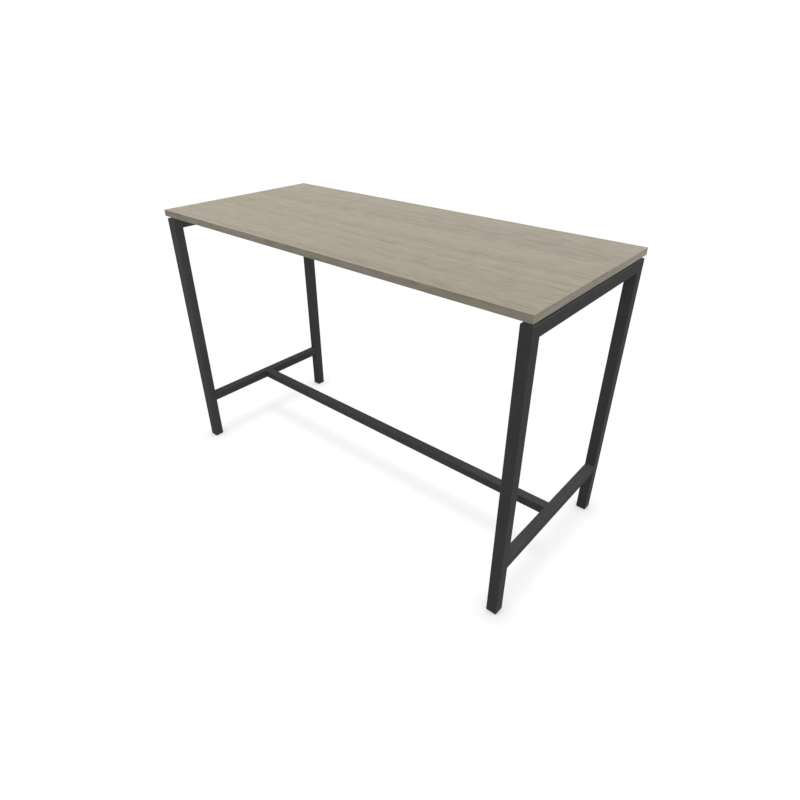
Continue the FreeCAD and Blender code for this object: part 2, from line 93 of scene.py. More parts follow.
# How far apart the screws of the top stand, along the crossbars and along the beams, and
# where the three in each stand, as steps of that pitch from its middle.
CROSSBAR_PITCH = 260 * MM
BEAM_PITCH = 550 * MM
THREE_STEPS = (-1, 0, 1)

Range = tuple[float, float]
Outline = Sequence[tuple[float, float]]
Span = tuple[float, float, float]
Colour = tuple[float, float, float]
Paint = tuple[float, float, float, float]
Box = tuple[Vector, Vector]
FaceTest = Callable[[Vector, Vector], bool]
EdgeTest = Callable[[Vector, Vector], bool]
Look = dict[str, bpy.types.NodeSocket]

log = logging.getLogger("table")


class Axis(Enum):
    """The three directions of the table."""

    X = 0
    Y = 1
    Z = 2

    @property
    def vector(self) -> Vector:
        """Return the unit vector along this axis."""
        return Vector(tuple(float(self.value == number) for number in range(3)))

    @property
    def others(self) -> list[int]:
        """Return the numbers of the other two axes."""
        return [number for number in range(3) if number != self.value]


class Element(Enum):
    """What is selected in edit mode."""

    VERTEX = "VERT"
    EDGE = "EDGE"
    FACE = "FACE"


class Meeting(Enum):
    """What a piece keeps where another one meets it."""

    CUT = "DIFFERENCE"
    SHARED = "INTERSECT"


class Linking(Enum):
    """Which pieces a light's group means."""

    ONLY = "INCLUDE"
    ALL_BUT = "EXCLUDE"


class Grain(Enum):
    """Which way the wood grain of a piece runs, as a turn about Z."""

    LENGTHWAYS = 0.0
    CROSSWAYS = math.pi / 2


class Socket(Enum):
    """Kinds of socket that a shared effect has."""

    NUMBER = "NodeSocketFloat"
    COLOUR = "NodeSocketColor"
    PLACE = "NodeSocketVector"


# Modelling


def clear_bench() -> None:
    """Leave edit mode and deselect everything."""
    if bpy.context.object and bpy.context.object.mode != "OBJECT":
        bpy.ops.object.mode_set(mode="OBJECT")
    bpy.ops.object.select_all(action="DESELECT")


def add_block(low: Vector, high: Vector) -> None:
    """Add a block to a clear bench.

    Args:
        low: Its lowest corner.
        high: Its highest corner.
    """
    clear_bench()
    bpy.ops.mesh.primitive_cube_add(size=1.0, location=(low + high) / 2)
    bpy.ops.transform.resize(value=high - low)


def runs_along(axis: Axis) -> EdgeTest:
    """Return a test for the edges that run along an axis."""
    return lambda start, end: abs(start[axis.value] - end[axis.value]) > NEAR


def lies_at(axis: Axis, place: float) -> EdgeTest:
    """Return a test for the edges that lie at a place along an axis."""
    return lambda start, end: all(abs(point[axis.value] - place) < NEAR for point in (start, end))


class Workpiece:
    """One mesh on the bench, shaped where it belongs with the modelling operators."""

    def __init__(self, name: str) -> None:
        """Take up the primitive or the copy that was just added.

        Args:
            name: Name for the piece and its mesh.
        """
        self.thing: bpy.types.Object = bpy.context.object
        self.thing.name = name
        self.thing.data.name = name
        bpy.ops.object.transform_apply(location=True, rotation=True, scale=True)

    @classmethod
    def block(cls, name: str, low: Vector, high: Vector) -> "Workpiece":
        """Start from a block between two corners."""
        add_block(low, high)
        return cls(name)

    @classmethod
    def hexagon(cls, name: str, foot: Vector, heading: Vector, flats: float, height: float) -> "Workpiece":
        """Start from a hexagonal prism.

        Args:
            name: Name for the piece.
            foot: Middle of the end that it starts from.
            heading: Unit vector from that end to the other.
            flats: Distance across its flats.
            height: Distance between its ends.

        Returns:
            The new piece.
        """
        clear_bench()
        turn = Quaternion((0, 0, 1), math.pi / 2)
        turn.rotate(Vector((0, 0, 1)).rotation_difference(heading))
        bpy.ops.mesh.primitive_cylinder_add(vertices=6, radius=flats / math.sqrt(3), depth=height,
                                            location=foot + heading * height / 2, rotation=turn.to_euler())
        return cls(name)

    @classmethod
    def line(cls, name: str, places: Sequence[Vector]) -> "Workpiece":
        """Start from a line, drawn by extruding one point.

        Args:
            name: Name for the piece.
            places: The points that the line goes through.

        Returns:
            The new piece.
        """
        clear_bench()
        bpy.ops.mesh.primitive_plane_add(size=MM, location=places[0])
        piece = cls(name)
        piece.pick_all()
        bpy.ops.mesh.merge(type="CENTER")
        for start, end in zip(places, places[1:]):
            bpy.ops.mesh.extrude_region_move(TRANSFORM_OT_translate={"value": end - start})
        return piece

    @classmethod
    def turned(cls, name: str, foot: Vector, heading: Vector, outline: Outline, steps: int) -> "Workpiece":
        """Turn a piece from an outline, as on a lathe.

        Args:
            name: Name for the piece.
            foot: Point of the axis that heights start from.
            heading: Unit vector along the axis.
            outline: Radius and height of each point of the outline.
            steps: How many steps a full turn has.

        Returns:
            The new piece.
        """
        across = heading.orthogonal().normalized()
        piece = cls.line(name, [foot + across * radius + heading * height for radius, height in outline])
        piece.pick_all()
        bpy.ops.mesh.spin(steps=steps, angle=math.tau, center=foot, axis=heading)
        piece.close_seams()
        return piece

    def open(self, kind: Element) -> None:
        """Enter edit mode with nothing selected.

        Args:
            kind: What is to be selected.
        """
        if self.thing.mode != "EDIT":
            self.take_up()
            bpy.ops.object.mode_set(mode="EDIT")
        bpy.ops.mesh.select_mode(type=kind.value)
        bpy.ops.mesh.select_all(action="DESELECT")

    def take_up(self) -> None:
        """Select this piece alone, in object mode."""
        clear_bench()
        self.thing.select_set(True)
        bpy.context.view_layer.objects.active = self.thing

    def pick_all(self, kind: Element = Element.VERTEX) -> None:
        """Select the whole mesh."""
        self.open(kind)
        bpy.ops.mesh.select_all(action="SELECT")

    def pick_faces(self, wanted: FaceTest) -> None:
        """Select faces.

        Args:
            wanted: Says from a face's middle and normal whether it is selected.
        """
        self.open(Element.FACE)
        mesh = bmesh.from_edit_mesh(self.thing.data)
        for face in mesh.faces:
            if wanted(face.calc_center_median(), face.normal):
                face.select_set(True)
        bmesh.update_edit_mesh(self.thing.data)

    def pick_facing(self, axis: Axis, *signs: int) -> None:
        """Select the faces that look straight along an axis, one way or both."""
        self.pick_faces(lambda middle, normal: any(normal[axis.value] * sign > SQUARE_ON for sign in signs))

    def pick_edges(self, wanted: EdgeTest) -> None:
        """Select edges.

        Args:
            wanted: Says from an edge's two ends whether it is selected.
        """
        self.open(Element.EDGE)
        mesh = bmesh.from_edit_mesh(self.thing.data)
        for edge in mesh.edges:
            if wanted(edge.verts[0].co, edge.verts[1].co):
                edge.select_set(True)
        bmesh.update_edit_mesh(self.thing.data)

    def round_picked(self, radius: float, segments: int) -> None:
        """Round the selected edges."""
        bpy.ops.mesh.bevel(offset=radius, segments=segments, affect="EDGES")

    def border_picked(self, width: float) -> None:
        """Give each selected face a border, which holds its shading and takes the wear."""
        bpy.ops.mesh.inset(thickness=width, use_individual=True)

    def push_picked(self, reach: Vector, swell: Vector, about: Vector) -> None:
        """Extrude the selected faces by a reach, and scale the new end about a point."""
        bpy.ops.mesh.extrude_region_move(TRANSFORM_OT_translate={"value": reach})
        bpy.ops.transform.resize(value=swell, center_override=about + reach)

    def cut_away(self, place: Vector, normal: Vector) -> None:
        """Cut off all that lies on one side of a plane, and close a tube's wall there.

        Args:
            place: Any point of the plane.
            normal: Its normal, towards the side that goes.
        """
        self.pick_all(Element.FACE)
        bpy.ops.mesh.bisect(plane_co=place, plane_no=normal, clear_outer=True, threshold=NEAR)
        bpy.ops.mesh.bridge_edge_loops()

    def close_seams(self) -> None:
        """Merge doubles and point every face outwards."""
        self.pick_all()
        bpy.ops.mesh.remove_doubles(threshold=MERGE)
        bpy.ops.mesh.normals_make_consistent(inside=False)

    def apply(self, kind: str, **settings: object) -> None:
        """Add a modifier and apply it.

        Args:
            kind: Its type.
            settings: Its properties.
        """
        self.take_up()
        bpy.ops.object.modifier_add(type=kind)
        step = self.thing.modifiers[-1]
        for name, value in settings.items():
            setattr(step, name, value)
        bpy.ops.object.modifier_apply(modifier=step.name)

    def meet(self, tool: "Workpiece", meeting: Meeting) -> None:
        """Let another piece shape this one, and use it up."""
        self.apply("BOOLEAN", operation=meeting.value, solver="EXACT", object=tool.thing)
        bpy.data.meshes.remove(tool.thing.data)

    def drill(self, mouth: Vector, heading: Vector, radius: float, depth: float, flare: float) -> None:
        """Drill a round hole from the middle of its mouth, which is chamfered as wide as the flare."""
        outline = ((0, -flare), (radius + 2 * flare, -flare), (radius, flare), (radius, depth), (0, depth))
        self.meet(Workpiece.turned("drill_bit", mouth, heading, outline, HOLE_STEPS), Meeting.CUT)

    def copied(self, name: str, shift: Vector | None = None, half_turn: bool = False) -> "Workpiece":
        """Copy the piece with its mesh.

        Args:
            name: Name for the copy.
            shift: How far the copy is moved.
            half_turn: Whether it is turned half round about the table's middle.

        Returns:
            The copy.
        """
        self.take_up()
        bpy.ops.object.duplicate(linked=False)
        if half_turn:
            bpy.ops.transform.rotate(value=math.pi, orient_axis="Z", center_override=(0, 0, 0))
        if shift:
            bpy.ops.transform.translate(value=shift)
        return Workpiece(name)

    def repeat(self, shifts: Sequence[Vector]) -> None:
        """Add copies of the piece to it, each moved by its own shift."""
        self.absorb([self.copied(f"copy_{number}", shift) for number, shift in enumerate(shifts)])

    def absorb(self, others: Sequence["Workpiece"]) -> None:
        """Join other pieces into this one.

        Args:
            others: The pieces, which are used up.
        """
        self.take_up()
        for other in others:
            other.thing.select_set(True)
        bpy.ops.object.join()

    def mark_edges(self) -> None:
        """Write how near each narrow face's corners are to an edge, for the wear."""
        clear_bench()
        mesh = bmesh.new()
        mesh.from_mesh(self.thing.data)
        layer = mesh.loops.layers.float.new(EDGE_LAYER)
        sharp = {vertex for edge in mesh.edges if len(edge.link_faces) == 2
                 and edge.calc_face_angle() > WORN_BEND for vertex in edge.verts}
        for face in mesh.faces:
            narrow = face.calc_area() < WORN_WIDTH * max(edge.calc_length() for edge in face.edges)
            for corner in face.loops:
                corner[layer] = float(narrow and corner.vert in sharp)
        mesh.to_mesh(self.thing.data)
        mesh.free()

    def dress(self, finish: "Finish", slot: str, node: str, body: str = TABLE) -> None:
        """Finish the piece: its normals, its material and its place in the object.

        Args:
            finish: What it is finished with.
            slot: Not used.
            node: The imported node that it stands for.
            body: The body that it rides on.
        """
        self.mark_edges()
        self.take_up()
        bpy.ops.object.shade_smooth_by_angle(angle=SMOOTH_BELOW)
        self.apply("WEIGHTED_NORMAL", keep_sharp=True)
        self.thing.data.materials.clear()
        self.thing.data.materials.append(material_for(finish))
        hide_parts(node)
        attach(self.thing, body)
        log.info("%s: %d faces, on %s", self.thing.name, len(self.thing.data.polygons), body)


def dress_all(pieces: dict[str, Workpiece], finish: "Finish", slot: str) -> None:
    """Dress pieces that are alike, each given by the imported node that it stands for."""
    for node, piece in pieces.items():
        piece.dress(finish, slot, node)


# Node trees


@dataclass(frozen=True)
class Pattern:
    """Noise with features of a given size, in millimetres along X, Y and Z.

    As a mask, it rises from its low value to its high one.
    """

    size: Span
    detail: float = 2.0
    rough: float = 0.5
    shift: Span = (0.0, 0.0, 0.0)
    turn: float = 0.0
    bend: float = 0.0
    low: float = NOISE_LOW
    high: float = NOISE_HIGH


class NodeBench:
    """Adds and joins the nodes of one tree."""

    def __init__(self, tree: bpy.types.NodeTree) -> None:
        """Work on a tree."""
        self.tree = tree

    def add(self, kind: str, inputs: dict | None = None, **settings: object) -> bpy.types.Node:
        """Add a node.

        Args:
            kind: Its type.
            inputs: Number, colour or socket for each input, by name or number.
            settings: Its own properties.

        Returns:
            The node.
        """
        node = self.tree.nodes.new(kind)
        for name, value in settings.items():
            setattr(node, name, value)
        for label, value in (inputs or {}).items():
            self.feed(node.inputs[label], value)
        return node

    def feed(self, socket: bpy.types.NodeSocket, value: object) -> None:
        """Set an input.

        Args:
            socket: The input.
            value: Its value, or the socket that is linked to it.
        """
        if isinstance(value, bpy.types.NodeSocket):
            self.tree.links.new(value, socket)
        else:
            socket.default_value = value

    def maths(self, operation: str, *values: object) -> bpy.types.NodeSocket:
        """Return the result of a maths node."""
        return self.add("ShaderNodeMath", dict(enumerate(values)), operation=operation).outputs[0]

    def times(self, first: object, second: object) -> bpy.types.NodeSocket:
        """Return the product of two values."""
        return self.maths("MULTIPLY", first, second)

    def plus(self, first: object, second: object) -> bpy.types.NodeSocket:
        """Return the sum of two values."""
        return self.maths("ADD", first, second)

    def blend(self, share: object, under: object, over: object, how: str = "MIX") -> bpy.types.NodeSocket:
        """Return two colours blended by the second one's share."""
        node = self.add("ShaderNodeMix", {0: share, 6: under, 7: over}, data_type="RGBA", blend_type=how)
        return node.outputs[2]

    def stretch(self, place: object, size: Span, shift: Span = (0.0, 0.0, 0.0),
                turn: float = 0.0) -> bpy.types.NodeSocket:
        """Return a place measured in units of a feature's size along X, Y and Z.

        Args:
            place: The place.
            size: Size of the feature, in metres.
            shift: Where the pattern starts, in features.
            turn: Turn of the pattern about Z.

        Returns:
            The place in features.
        """
        turned = self.add("ShaderNodeVectorRotate", {"Vector": place, "Angle": turn}).outputs[0]
        scale = tuple(1 / part for part in size)
        inputs = {"Vector": turned, "Location": shift, "Scale": scale}
        return self.add("ShaderNodeMapping", inputs).outputs[0]

    def noise(self, place: object, detail: float, rough: float, bend: float = 0.0) -> bpy.types.NodeSocket:
        """Return noise of unit size at a place."""
        inputs = {"Vector": place, "Scale": 1.0, "Detail": detail, "Roughness": rough, "Distortion": bend}
        return self.add("ShaderNodeTexNoise", inputs).outputs[0]

    def between(self, noise: object, ends: Range) -> bpy.types.NodeSocket:
        """Return noise eased to run between two values."""
        return self.remap(noise, to_low=ends[0], to_high=ends[1])

    def lay_out(self, pattern: Pattern, place: object) -> bpy.types.NodeSocket:
        """Return a pattern's noise at a place."""
        features = self.stretch(place, Vector(pattern.size) * MM, pattern.shift, pattern.turn)
        return self.noise(features, pattern.detail, pattern.rough, pattern.bend)

    def cells(self, place: object, what: str = "Distance") -> bpy.types.NodeSocket:
        """Return one output of cells of unit size at a place."""
        return self.add("ShaderNodeTexVoronoi", {"Vector": place, "Scale": 1.0}).outputs[what]

    def remap(self, value: object, low: float = NOISE_LOW, high: float = NOISE_HIGH,
              to_low: float = 0.0, to_high: float = 1.0) -> bpy.types.NodeSocket:
        """Return a value eased from one range to another."""
        inputs = {0: value, 1: low, 2: high, 3: to_low, 4: to_high}
        return self.add("ShaderNodeMapRange", inputs, interpolation_type="SMOOTHSTEP").outputs[0]

    def mask(self, pattern: Pattern, place: object, to_low: float = 0.0,
             to_high: float = 1.0) -> bpy.types.NodeSocket:
        """Return a pattern as a mask, or eased to another range."""
        return self.remap(self.lay_out(pattern, place), pattern.low, pattern.high, to_low, to_high)

    def raised(self, height: object, depth: float, under: object | None = None) -> bpy.types.NodeSocket:
        """Return the normal of a relief.

        Args:
            height: Height from 0 to 1.
            depth: What a height of 1 measures, in metres.
            under: Normal that it lies on.

        Returns:
            The normal.
        """
        inputs = {"Height": height, "Distance": depth, "Strength": 1.0}
        if under is not None:
            inputs["Normal"] = under
        return self.add("ShaderNodeBump", inputs).outputs[0]

    def own_place(self) -> bpy.types.NodeSocket:
        """Return the place on the piece, in metres."""
        return self.add("ShaderNodeTexCoord").outputs["Object"]

    def edge_share(self) -> bpy.types.NodeSocket:
        """Return how near an edge of the piece is."""
        return self.add("ShaderNodeAttribute", attribute_name=EDGE_LAYER).outputs["Fac"]

    def use(self, effect: bpy.types.NodeTree, **values: object) -> bpy.types.NodeOutputs:
        """Place a shared effect with values or sockets for its inputs, and return its outputs."""
        return self.add("ShaderNodeGroup", values, node_tree=effect).outputs


class Effect:
    """A node group under way. It reads a place on the piece, and has other named inputs."""

    def __init__(self, name: str, values: dict[str, float | Paint], outputs: dict[str, Socket]) -> None:
        """Start a group.

        Args:
            name: Its name.
            values: Usual number or colour of each further input.
            outputs: Kind of each output.
        """
        self.tree = bpy.data.node_groups.new(name, "ShaderNodeTree")
        self.add_socket("Place", "INPUT", Socket.PLACE)
        for label, value in values.items():
            kind = Socket.COLOUR if isinstance(value, tuple) else Socket.NUMBER
            self.add_socket(label, "INPUT", kind).default_value = value
        for label, kind in outputs.items():
            self.add_socket(label, "OUTPUT", kind)
        self.bench = NodeBench(self.tree)
        self.inlet = self.bench.add("NodeGroupInput").outputs
        self.outlet = self.bench.add("NodeGroupOutput").inputs
        self.place = self.inlet["Place"]

    def add_socket(self, label: str, way: str, kind: Socket) -> bpy.types.NodeTreeInterfaceSocket:
        """Add an input or an output."""
        return self.tree.interface.new_socket(name=label, in_out=way, socket_type=kind.value)

    def finish(self, **results: bpy.types.NodeSocket) -> bpy.types.NodeTree:
        """Link the results to the outputs.

        Args:
            results: The socket for each output.

        Returns:
            The finished group.
        """
        for label, socket in results.items():
            self.bench.feed(self.outlet[label], socket)
        return self.tree


# Patterns that the shared effects are made of.
WEAR_PATCHES = Pattern((35, 35, 35), detail=3.0, rough=0.6, low=0.42, high=0.62)
WEAR_NICKS = Pattern((2.5, 2.5, 2.5), detail=3.0, rough=0.7)
DUST_CLOUDS = Pattern((90, 60, 60), detail=4.0, rough=0.6, high=0.75)
DUST_SPECKS = Pattern((0.7, 0.7, 0.7), detail=1.0, high=0.8)
SMUDGES = Pattern((110, 110, 110), detail=4.0, rough=0.6, bend=0.4)
RUBS_ALONG = Pattern((40, 0.6, 0.6), detail=1.0, turn=0.5, low=0.68, high=0.78)
RUBS_ACROSS = Pattern((0.6, 35, 0.6), detail=1.0, turn=0.8, low=0.70, high=0.80)
# Wear starts this near to an edge, where 1 is the edge itself.
WEAR_START = 0.35
# Dust lies on what faces up at least so far, and shows at least so much between its specks.
DUST_SLOPE = 0.6
SPECK_LEAST = 0.5
# The noise of a pebbled skin, and how deep its dimples are against it.
GRIT_DETAIL = 3.0
GRIT_ROUGH = 0.55
DIMPLE_DEPTH = 0.35

OAK_SWAY = Pattern((600, 120, 120), detail=1.0, low=0.2, high=0.8)
OAK_BANDS = Pattern((2600, 39, 39), detail=3.0, rough=0.52)
OAK_PATCHES = Pattern((75, 15, 15), rough=0.6, shift=(1, 5, 8), low=0.32, high=0.68)
OAK_STREAKS = Pattern((110, 7.5, 7.5), rough=0.55, shift=(3, 7, 2))
OAK_FIBRES = Pattern((45, 1.4, 1.4), rough=0.6)
OAK_TINTS = Pattern((900, 170, 170), detail=3.0, rough=0.66, shift=(-5.4, -32.74, 5.98),
                    low=0.35, high=0.65)
OAK_TICKS = Pattern((8, 0.28, 0.28), detail=1.0, low=0.56, high=0.72)
# What a pattern is eased from and to, for the dark of a streak, for how streaks crowd in
# the bands and for how pores crowd in the streaks.
STREAK_CORE = (0.48, 0.66)
STREAK_CROWD = (0.42, 0.6, 0.15, 1.0)
PORE_CROWD = (0.4, 0.65, 0.25, 1.0)
# How far the grain sways, how much each pattern adds to the wood's depth of colour, and
# how strongly and how dark the pores show.
SWAY_REACH = 5 * MM
BAND_SHARE = 0.32
PATCH_SHARE = 0.32
STREAK_SHARE = 0.30
FIBRE_SHARE = 0.14
PORE_SHARE = 0.26
PORE_SHADE = (0.30, 0.26, 0.21, 1)
# Height of the fibres against the depth of the pores.
FIBRE_HEIGHT = 0.3


@functools.cache
def edge_wear() -> bpy.types.NodeTree:
    """Make the effect that thins a finish along edges, here and there.

    Returns:
        Its node group.
    """
    effect = Effect("edge_wear", {"Edge": 0.0, "Amount": 0.5}, {"Mask": Socket.NUMBER})
    bench = effect.bench
    patches = bench.mask(WEAR_PATCHES, effect.place)
    nicks = bench.mask(WEAR_NICKS, effect.place)
    near = bench.remap(effect.inlet["Edge"], WEAR_START, 1.0)
    mask = bench.times(near, bench.times(patches, nicks))
    return effect.finish(Mask=bench.times(mask, effect.inlet["Amount"]))


@functools.cache
def dust() -> bpy.types.NodeTree:
    """Make the effect of a little dust on what faces up.

    Returns:
        Its node group.
    """
    effect = Effect("dust", {"Amount": 0.1}, {"Mask": Socket.NUMBER})
    bench = effect.bench
    normal = bench.add("ShaderNodeNewGeometry").outputs["Normal"]
    upward = bench.add("ShaderNodeSeparateXYZ", {0: normal}).outputs["Z"]
    clouds = bench.mask(DUST_CLOUDS, effect.place)
    specks = bench.mask(DUST_SPECKS, effect.place, to_low=SPECK_LEAST)
    lying = bench.times(bench.remap(upward, DUST_SLOPE, 1.0), clouds)
    return effect.finish(Mask=bench.times(bench.times(lying, specks), effect.inlet["Amount"]))


@functools.cache
def grit() -> bpy.types.NodeTree:
    """Make the effect of a fine pebbled skin, as powder coat and moulded plastic have.

    Returns:
        Its node group.
    """
    effect = Effect("grit", {"Size": MM}, {"Height": Socket.NUMBER, "Tone": Socket.NUMBER})
    bench = effect.bench
    per_metre = bench.maths("DIVIDE", 1.0, effect.inlet["Size"])
    inputs = {0: effect.place, "Scale": per_metre}
    scaled = bench.add("ShaderNodeVectorMath", inputs, operation="SCALE").outputs[0]
    peel = bench.noise(scaled, GRIT_DETAIL, GRIT_ROUGH)
    height = bench.maths("SUBTRACT", peel, bench.times(bench.cells(scaled), DIMPLE_DEPTH))
    return effect.finish(Height=height, Tone=peel)


@functools.cache
def handling() -> bpy.types.NodeTree:
    """Make the effect of smudges and faint rub marks, as broad and as fine masks.

    Returns:
        Its node group.
    """
    effect = Effect("handling", {}, {"Smudge": Socket.NUMBER, "Rub": Socket.NUMBER})
    bench = effect.bench
    smudge = bench.lay_out(SMUDGES, effect.place)
    along = bench.mask(RUBS_ALONG, effect.place)
    across = bench.mask(RUBS_ACROSS, effect.place)
    return effect.finish(Smudge=smudge, Rub=bench.maths("MAXIMUM", along, across))


@functools.cache
def oak_figure() -> bpy.types.NodeTree:
    """Make the figure of limed oak: streaks, tints, fibres and pores with the grain along X.

    Returns:
        Its node group.
    """
    effect = Effect("oak_figure", {"Pale": WHITE, "Deep": BLACK, "Warm": WHITE, "Cool": WHITE},
                    {"Colour": Socket.COLOUR, "Height": Socket.NUMBER, "Pores": Socket.NUMBER})
    bench = effect.bench
    inlet = effect.inlet
    sway = bench.mask(OAK_SWAY, effect.place, -SWAY_REACH, SWAY_REACH)
    lift = bench.add("ShaderNodeCombineXYZ", {"Y": sway}).outputs[0]
    grain = bench.add("ShaderNodeVectorMath", {0: effect.place, 1: lift}).outputs[0]
    bands = bench.lay_out(OAK_BANDS, grain)
    streaks = bench.lay_out(OAK_STREAKS, grain)
    fibres = bench.lay_out(OAK_FIBRES, grain)
    clustered = bench.times(bench.remap(streaks, *STREAK_CORE), bench.remap(bands, *STREAK_CROWD))
    broad = bench.plus(bench.remap(bands, to_high=BAND_SHARE),
                       bench.mask(OAK_PATCHES, grain, to_high=PATCH_SHARE))
    fine = bench.plus(bench.times(clustered, STREAK_SHARE), bench.remap(fibres, to_high=FIBRE_SHARE))
    wood = bench.blend(bench.plus(broad, fine), inlet["Pale"], inlet["Deep"])
    tint = bench.blend(bench.mask(OAK_TINTS, grain), inlet["Cool"], inlet["Warm"])
    wood = bench.blend(1.0, wood, tint, "MULTIPLY")
    pores = bench.times(bench.mask(OAK_TICKS, grain), bench.remap(streaks, *PORE_CROWD))
    wood = bench.blend(bench.times(pores, PORE_SHARE), wood, PORE_SHADE, "MULTIPLY")
    height = bench.maths("SUBTRACT", bench.times(fibres, FIBRE_HEIGHT), pores)
    return effect.finish(Colour=wood, Height=height, Pores=pores)


# Finishes


def opaque(colour: Colour, level: float = 1.0) -> Paint:
    """Return a colour with its alpha, made lighter or darker by a level."""
    return (*(part * level for part in colour), 1.0)


@dataclass(frozen=True)
class Finish:
    """What every finish has: its wear and dust, its specular level and whether it is metal."""

    name: str
    wear: float = 0.0
    dusting: float = 0.0
    dust_tone: Colour = (0.62, 0.60, 0.56)
    gloss: float = 0.5
    metal: float = 0.0

    def lay(self, bench: NodeBench, place: bpy.types.NodeSocket) -> Look:
        """Return the sockets for the shader's colour, roughness and normal."""
        raise NotImplementedError

    def worn(self, bench: NodeBench, place: bpy.types.NodeSocket) -> bpy.types.NodeSocket:
        """Return how far the finish is worn."""
        return bench.use(edge_wear(), Place=place, Edge=bench.edge_share(), Amount=self.wear)["Mask"]

    def dusted(self, bench: NodeBench, place: bpy.types.NodeSocket,
               colour: bpy.types.NodeSocket) -> bpy.types.NodeSocket:
        """Return a colour with a little dust on it."""
        lying = bench.use(dust(), Place=place, Amount=self.dusting)["Mask"]
        return bench.blend(lying, colour, opaque(self.dust_tone))


@functools.cache
def material_for(finish: Finish) -> bpy.types.Material:
    """Return the material of a finish, made once.

    Args:
        finish: The finish.

    Returns:
        Its material.
    """
    material = bpy.data.materials.new(finish.name)
    material.use_nodes = True
    shader = material.node_tree.nodes["Principled BSDF"]
    bench = NodeBench(material.node_tree)
    for label, socket in finish.lay(bench, bench.own_place()).items():
        bench.feed(shader.inputs[label], socket)
    shader.inputs["Specular IOR Level"].default_value = finish.gloss
    shader.inputs["Metallic"].default_value = finish.metal
    return material


@dataclass(frozen=True)
class OakDecor(Finish):
    """Matt decor film printed as limed oak."""

    wear: float = 0.30
    dusting: float = 0.03
    gloss: float = 0.3
    grain: Grain = Grain.LENGTHWAYS
    shift: Span = (0.0, 0.0, 0.0)
    pale: Colour = (0.440, 0.390, 0.310)
    deep: Colour = (0.286, 0.249, 0.189)
    warm: Colour = (1.004, 0.982, 1.026)
    cool: Colour = (0.996, 1.018, 0.974)
    level: float = 1.0
    worn_level: float = 1.15
    rough: Range = (0.50, 0.60)
    pore_rough: float = 0.12
    relief: float = 0.03 * MM

    def lay(self, bench: NodeBench, place: bpy.types.NodeSocket) -> Look:
        """Lay the oak figure, with edge wear, faint smudges and open pores.

        Args:
            bench: The material's nodes.
            place: Place on the piece.

        Returns:
            Sockets for the shader, by input.
        """
        grain = bench.stretch(place, (1, 1, 1), self.shift, self.grain.value)
        figure = bench.use(oak_figure(), Place=grain,
                           Pale=opaque(self.pale, self.level), Deep=opaque(self.deep, self.level),
                           Warm=opaque(self.warm), Cool=opaque(self.cool))
        colour = bench.blend(self.worn(bench, place), figure["Colour"], opaque(self.pale, self.worn_level))
        smudge = bench.use(handling(), Place=place)["Smudge"]
        rough = bench.between(smudge, self.rough)
        return {"Base Color": self.dusted(bench, place, colour),
                "Roughness": bench.plus(rough, bench.times(figure["Pores"], self.pore_rough)),
                "Normal": bench.raised(figure["Height"], self.relief)}


@dataclass(frozen=True)
class PowderCoat(Finish):
    """Fine matt powder coat on steel."""

    wear: float = 0.35
    dusting: float = 0.02
    dust_tone: Colour = (0.50, 0.48, 0.45)
    gloss: float = 0.04
    colour: Colour = (0.062, 0.062, 0.062)
    bare: Colour = (0.15, 0.15, 0.15)
    mottle: Range = (0.92, 1.10)
    fleck_noise: Range = (0.35, 0.65)
    fleck_share: float = 0.25
    fleck_level: float = 1.35
    rough: Range = (0.66, 0.76)
    worn_shine: float = 0.25
    peel_size: float = 1.9 * MM
    peel_depth: float = 0.05 * MM
    grit_size: float = 0.45 * MM
    grit_depth: float = 0.025 * MM

    def lay(self, bench: NodeBench, place: bpy.types.NodeSocket) -> Look:
        """Lay the coat: orange peel, grit, thin edges, smudges and a little dust.

        Args:
            bench: The material's nodes.
            place: Place on the piece.

        Returns:
            Sockets for the shader, by input.
        """
        peel = bench.use(grit(), Place=place, Size=self.peel_size)
        fine = bench.use(grit(), Place=place, Size=self.grit_size)
        smudge = bench.use(handling(), Place=place)["Smudge"]
        worn = self.worn(bench, place)
        dark, light = (opaque(self.colour, level) for level in self.mottle)
        flecks = bench.remap(fine["Tone"], *self.fleck_noise, to_high=self.fleck_share)
        colour = bench.blend(flecks, bench.blend(bench.remap(smudge), dark, light),
                             opaque(self.colour, self.fleck_level))
        colour = bench.blend(worn, colour, opaque(self.bare))
        rough = bench.between(smudge, self.rough)
        relief = bench.raised(peel["Height"], self.peel_depth)
        return {"Base Color": self.dusted(bench, place, colour),
                "Roughness": bench.maths("SUBTRACT", rough, bench.times(worn, self.worn_shine)),
                "Normal": bench.raised(fine["Height"], self.grit_depth, relief)}


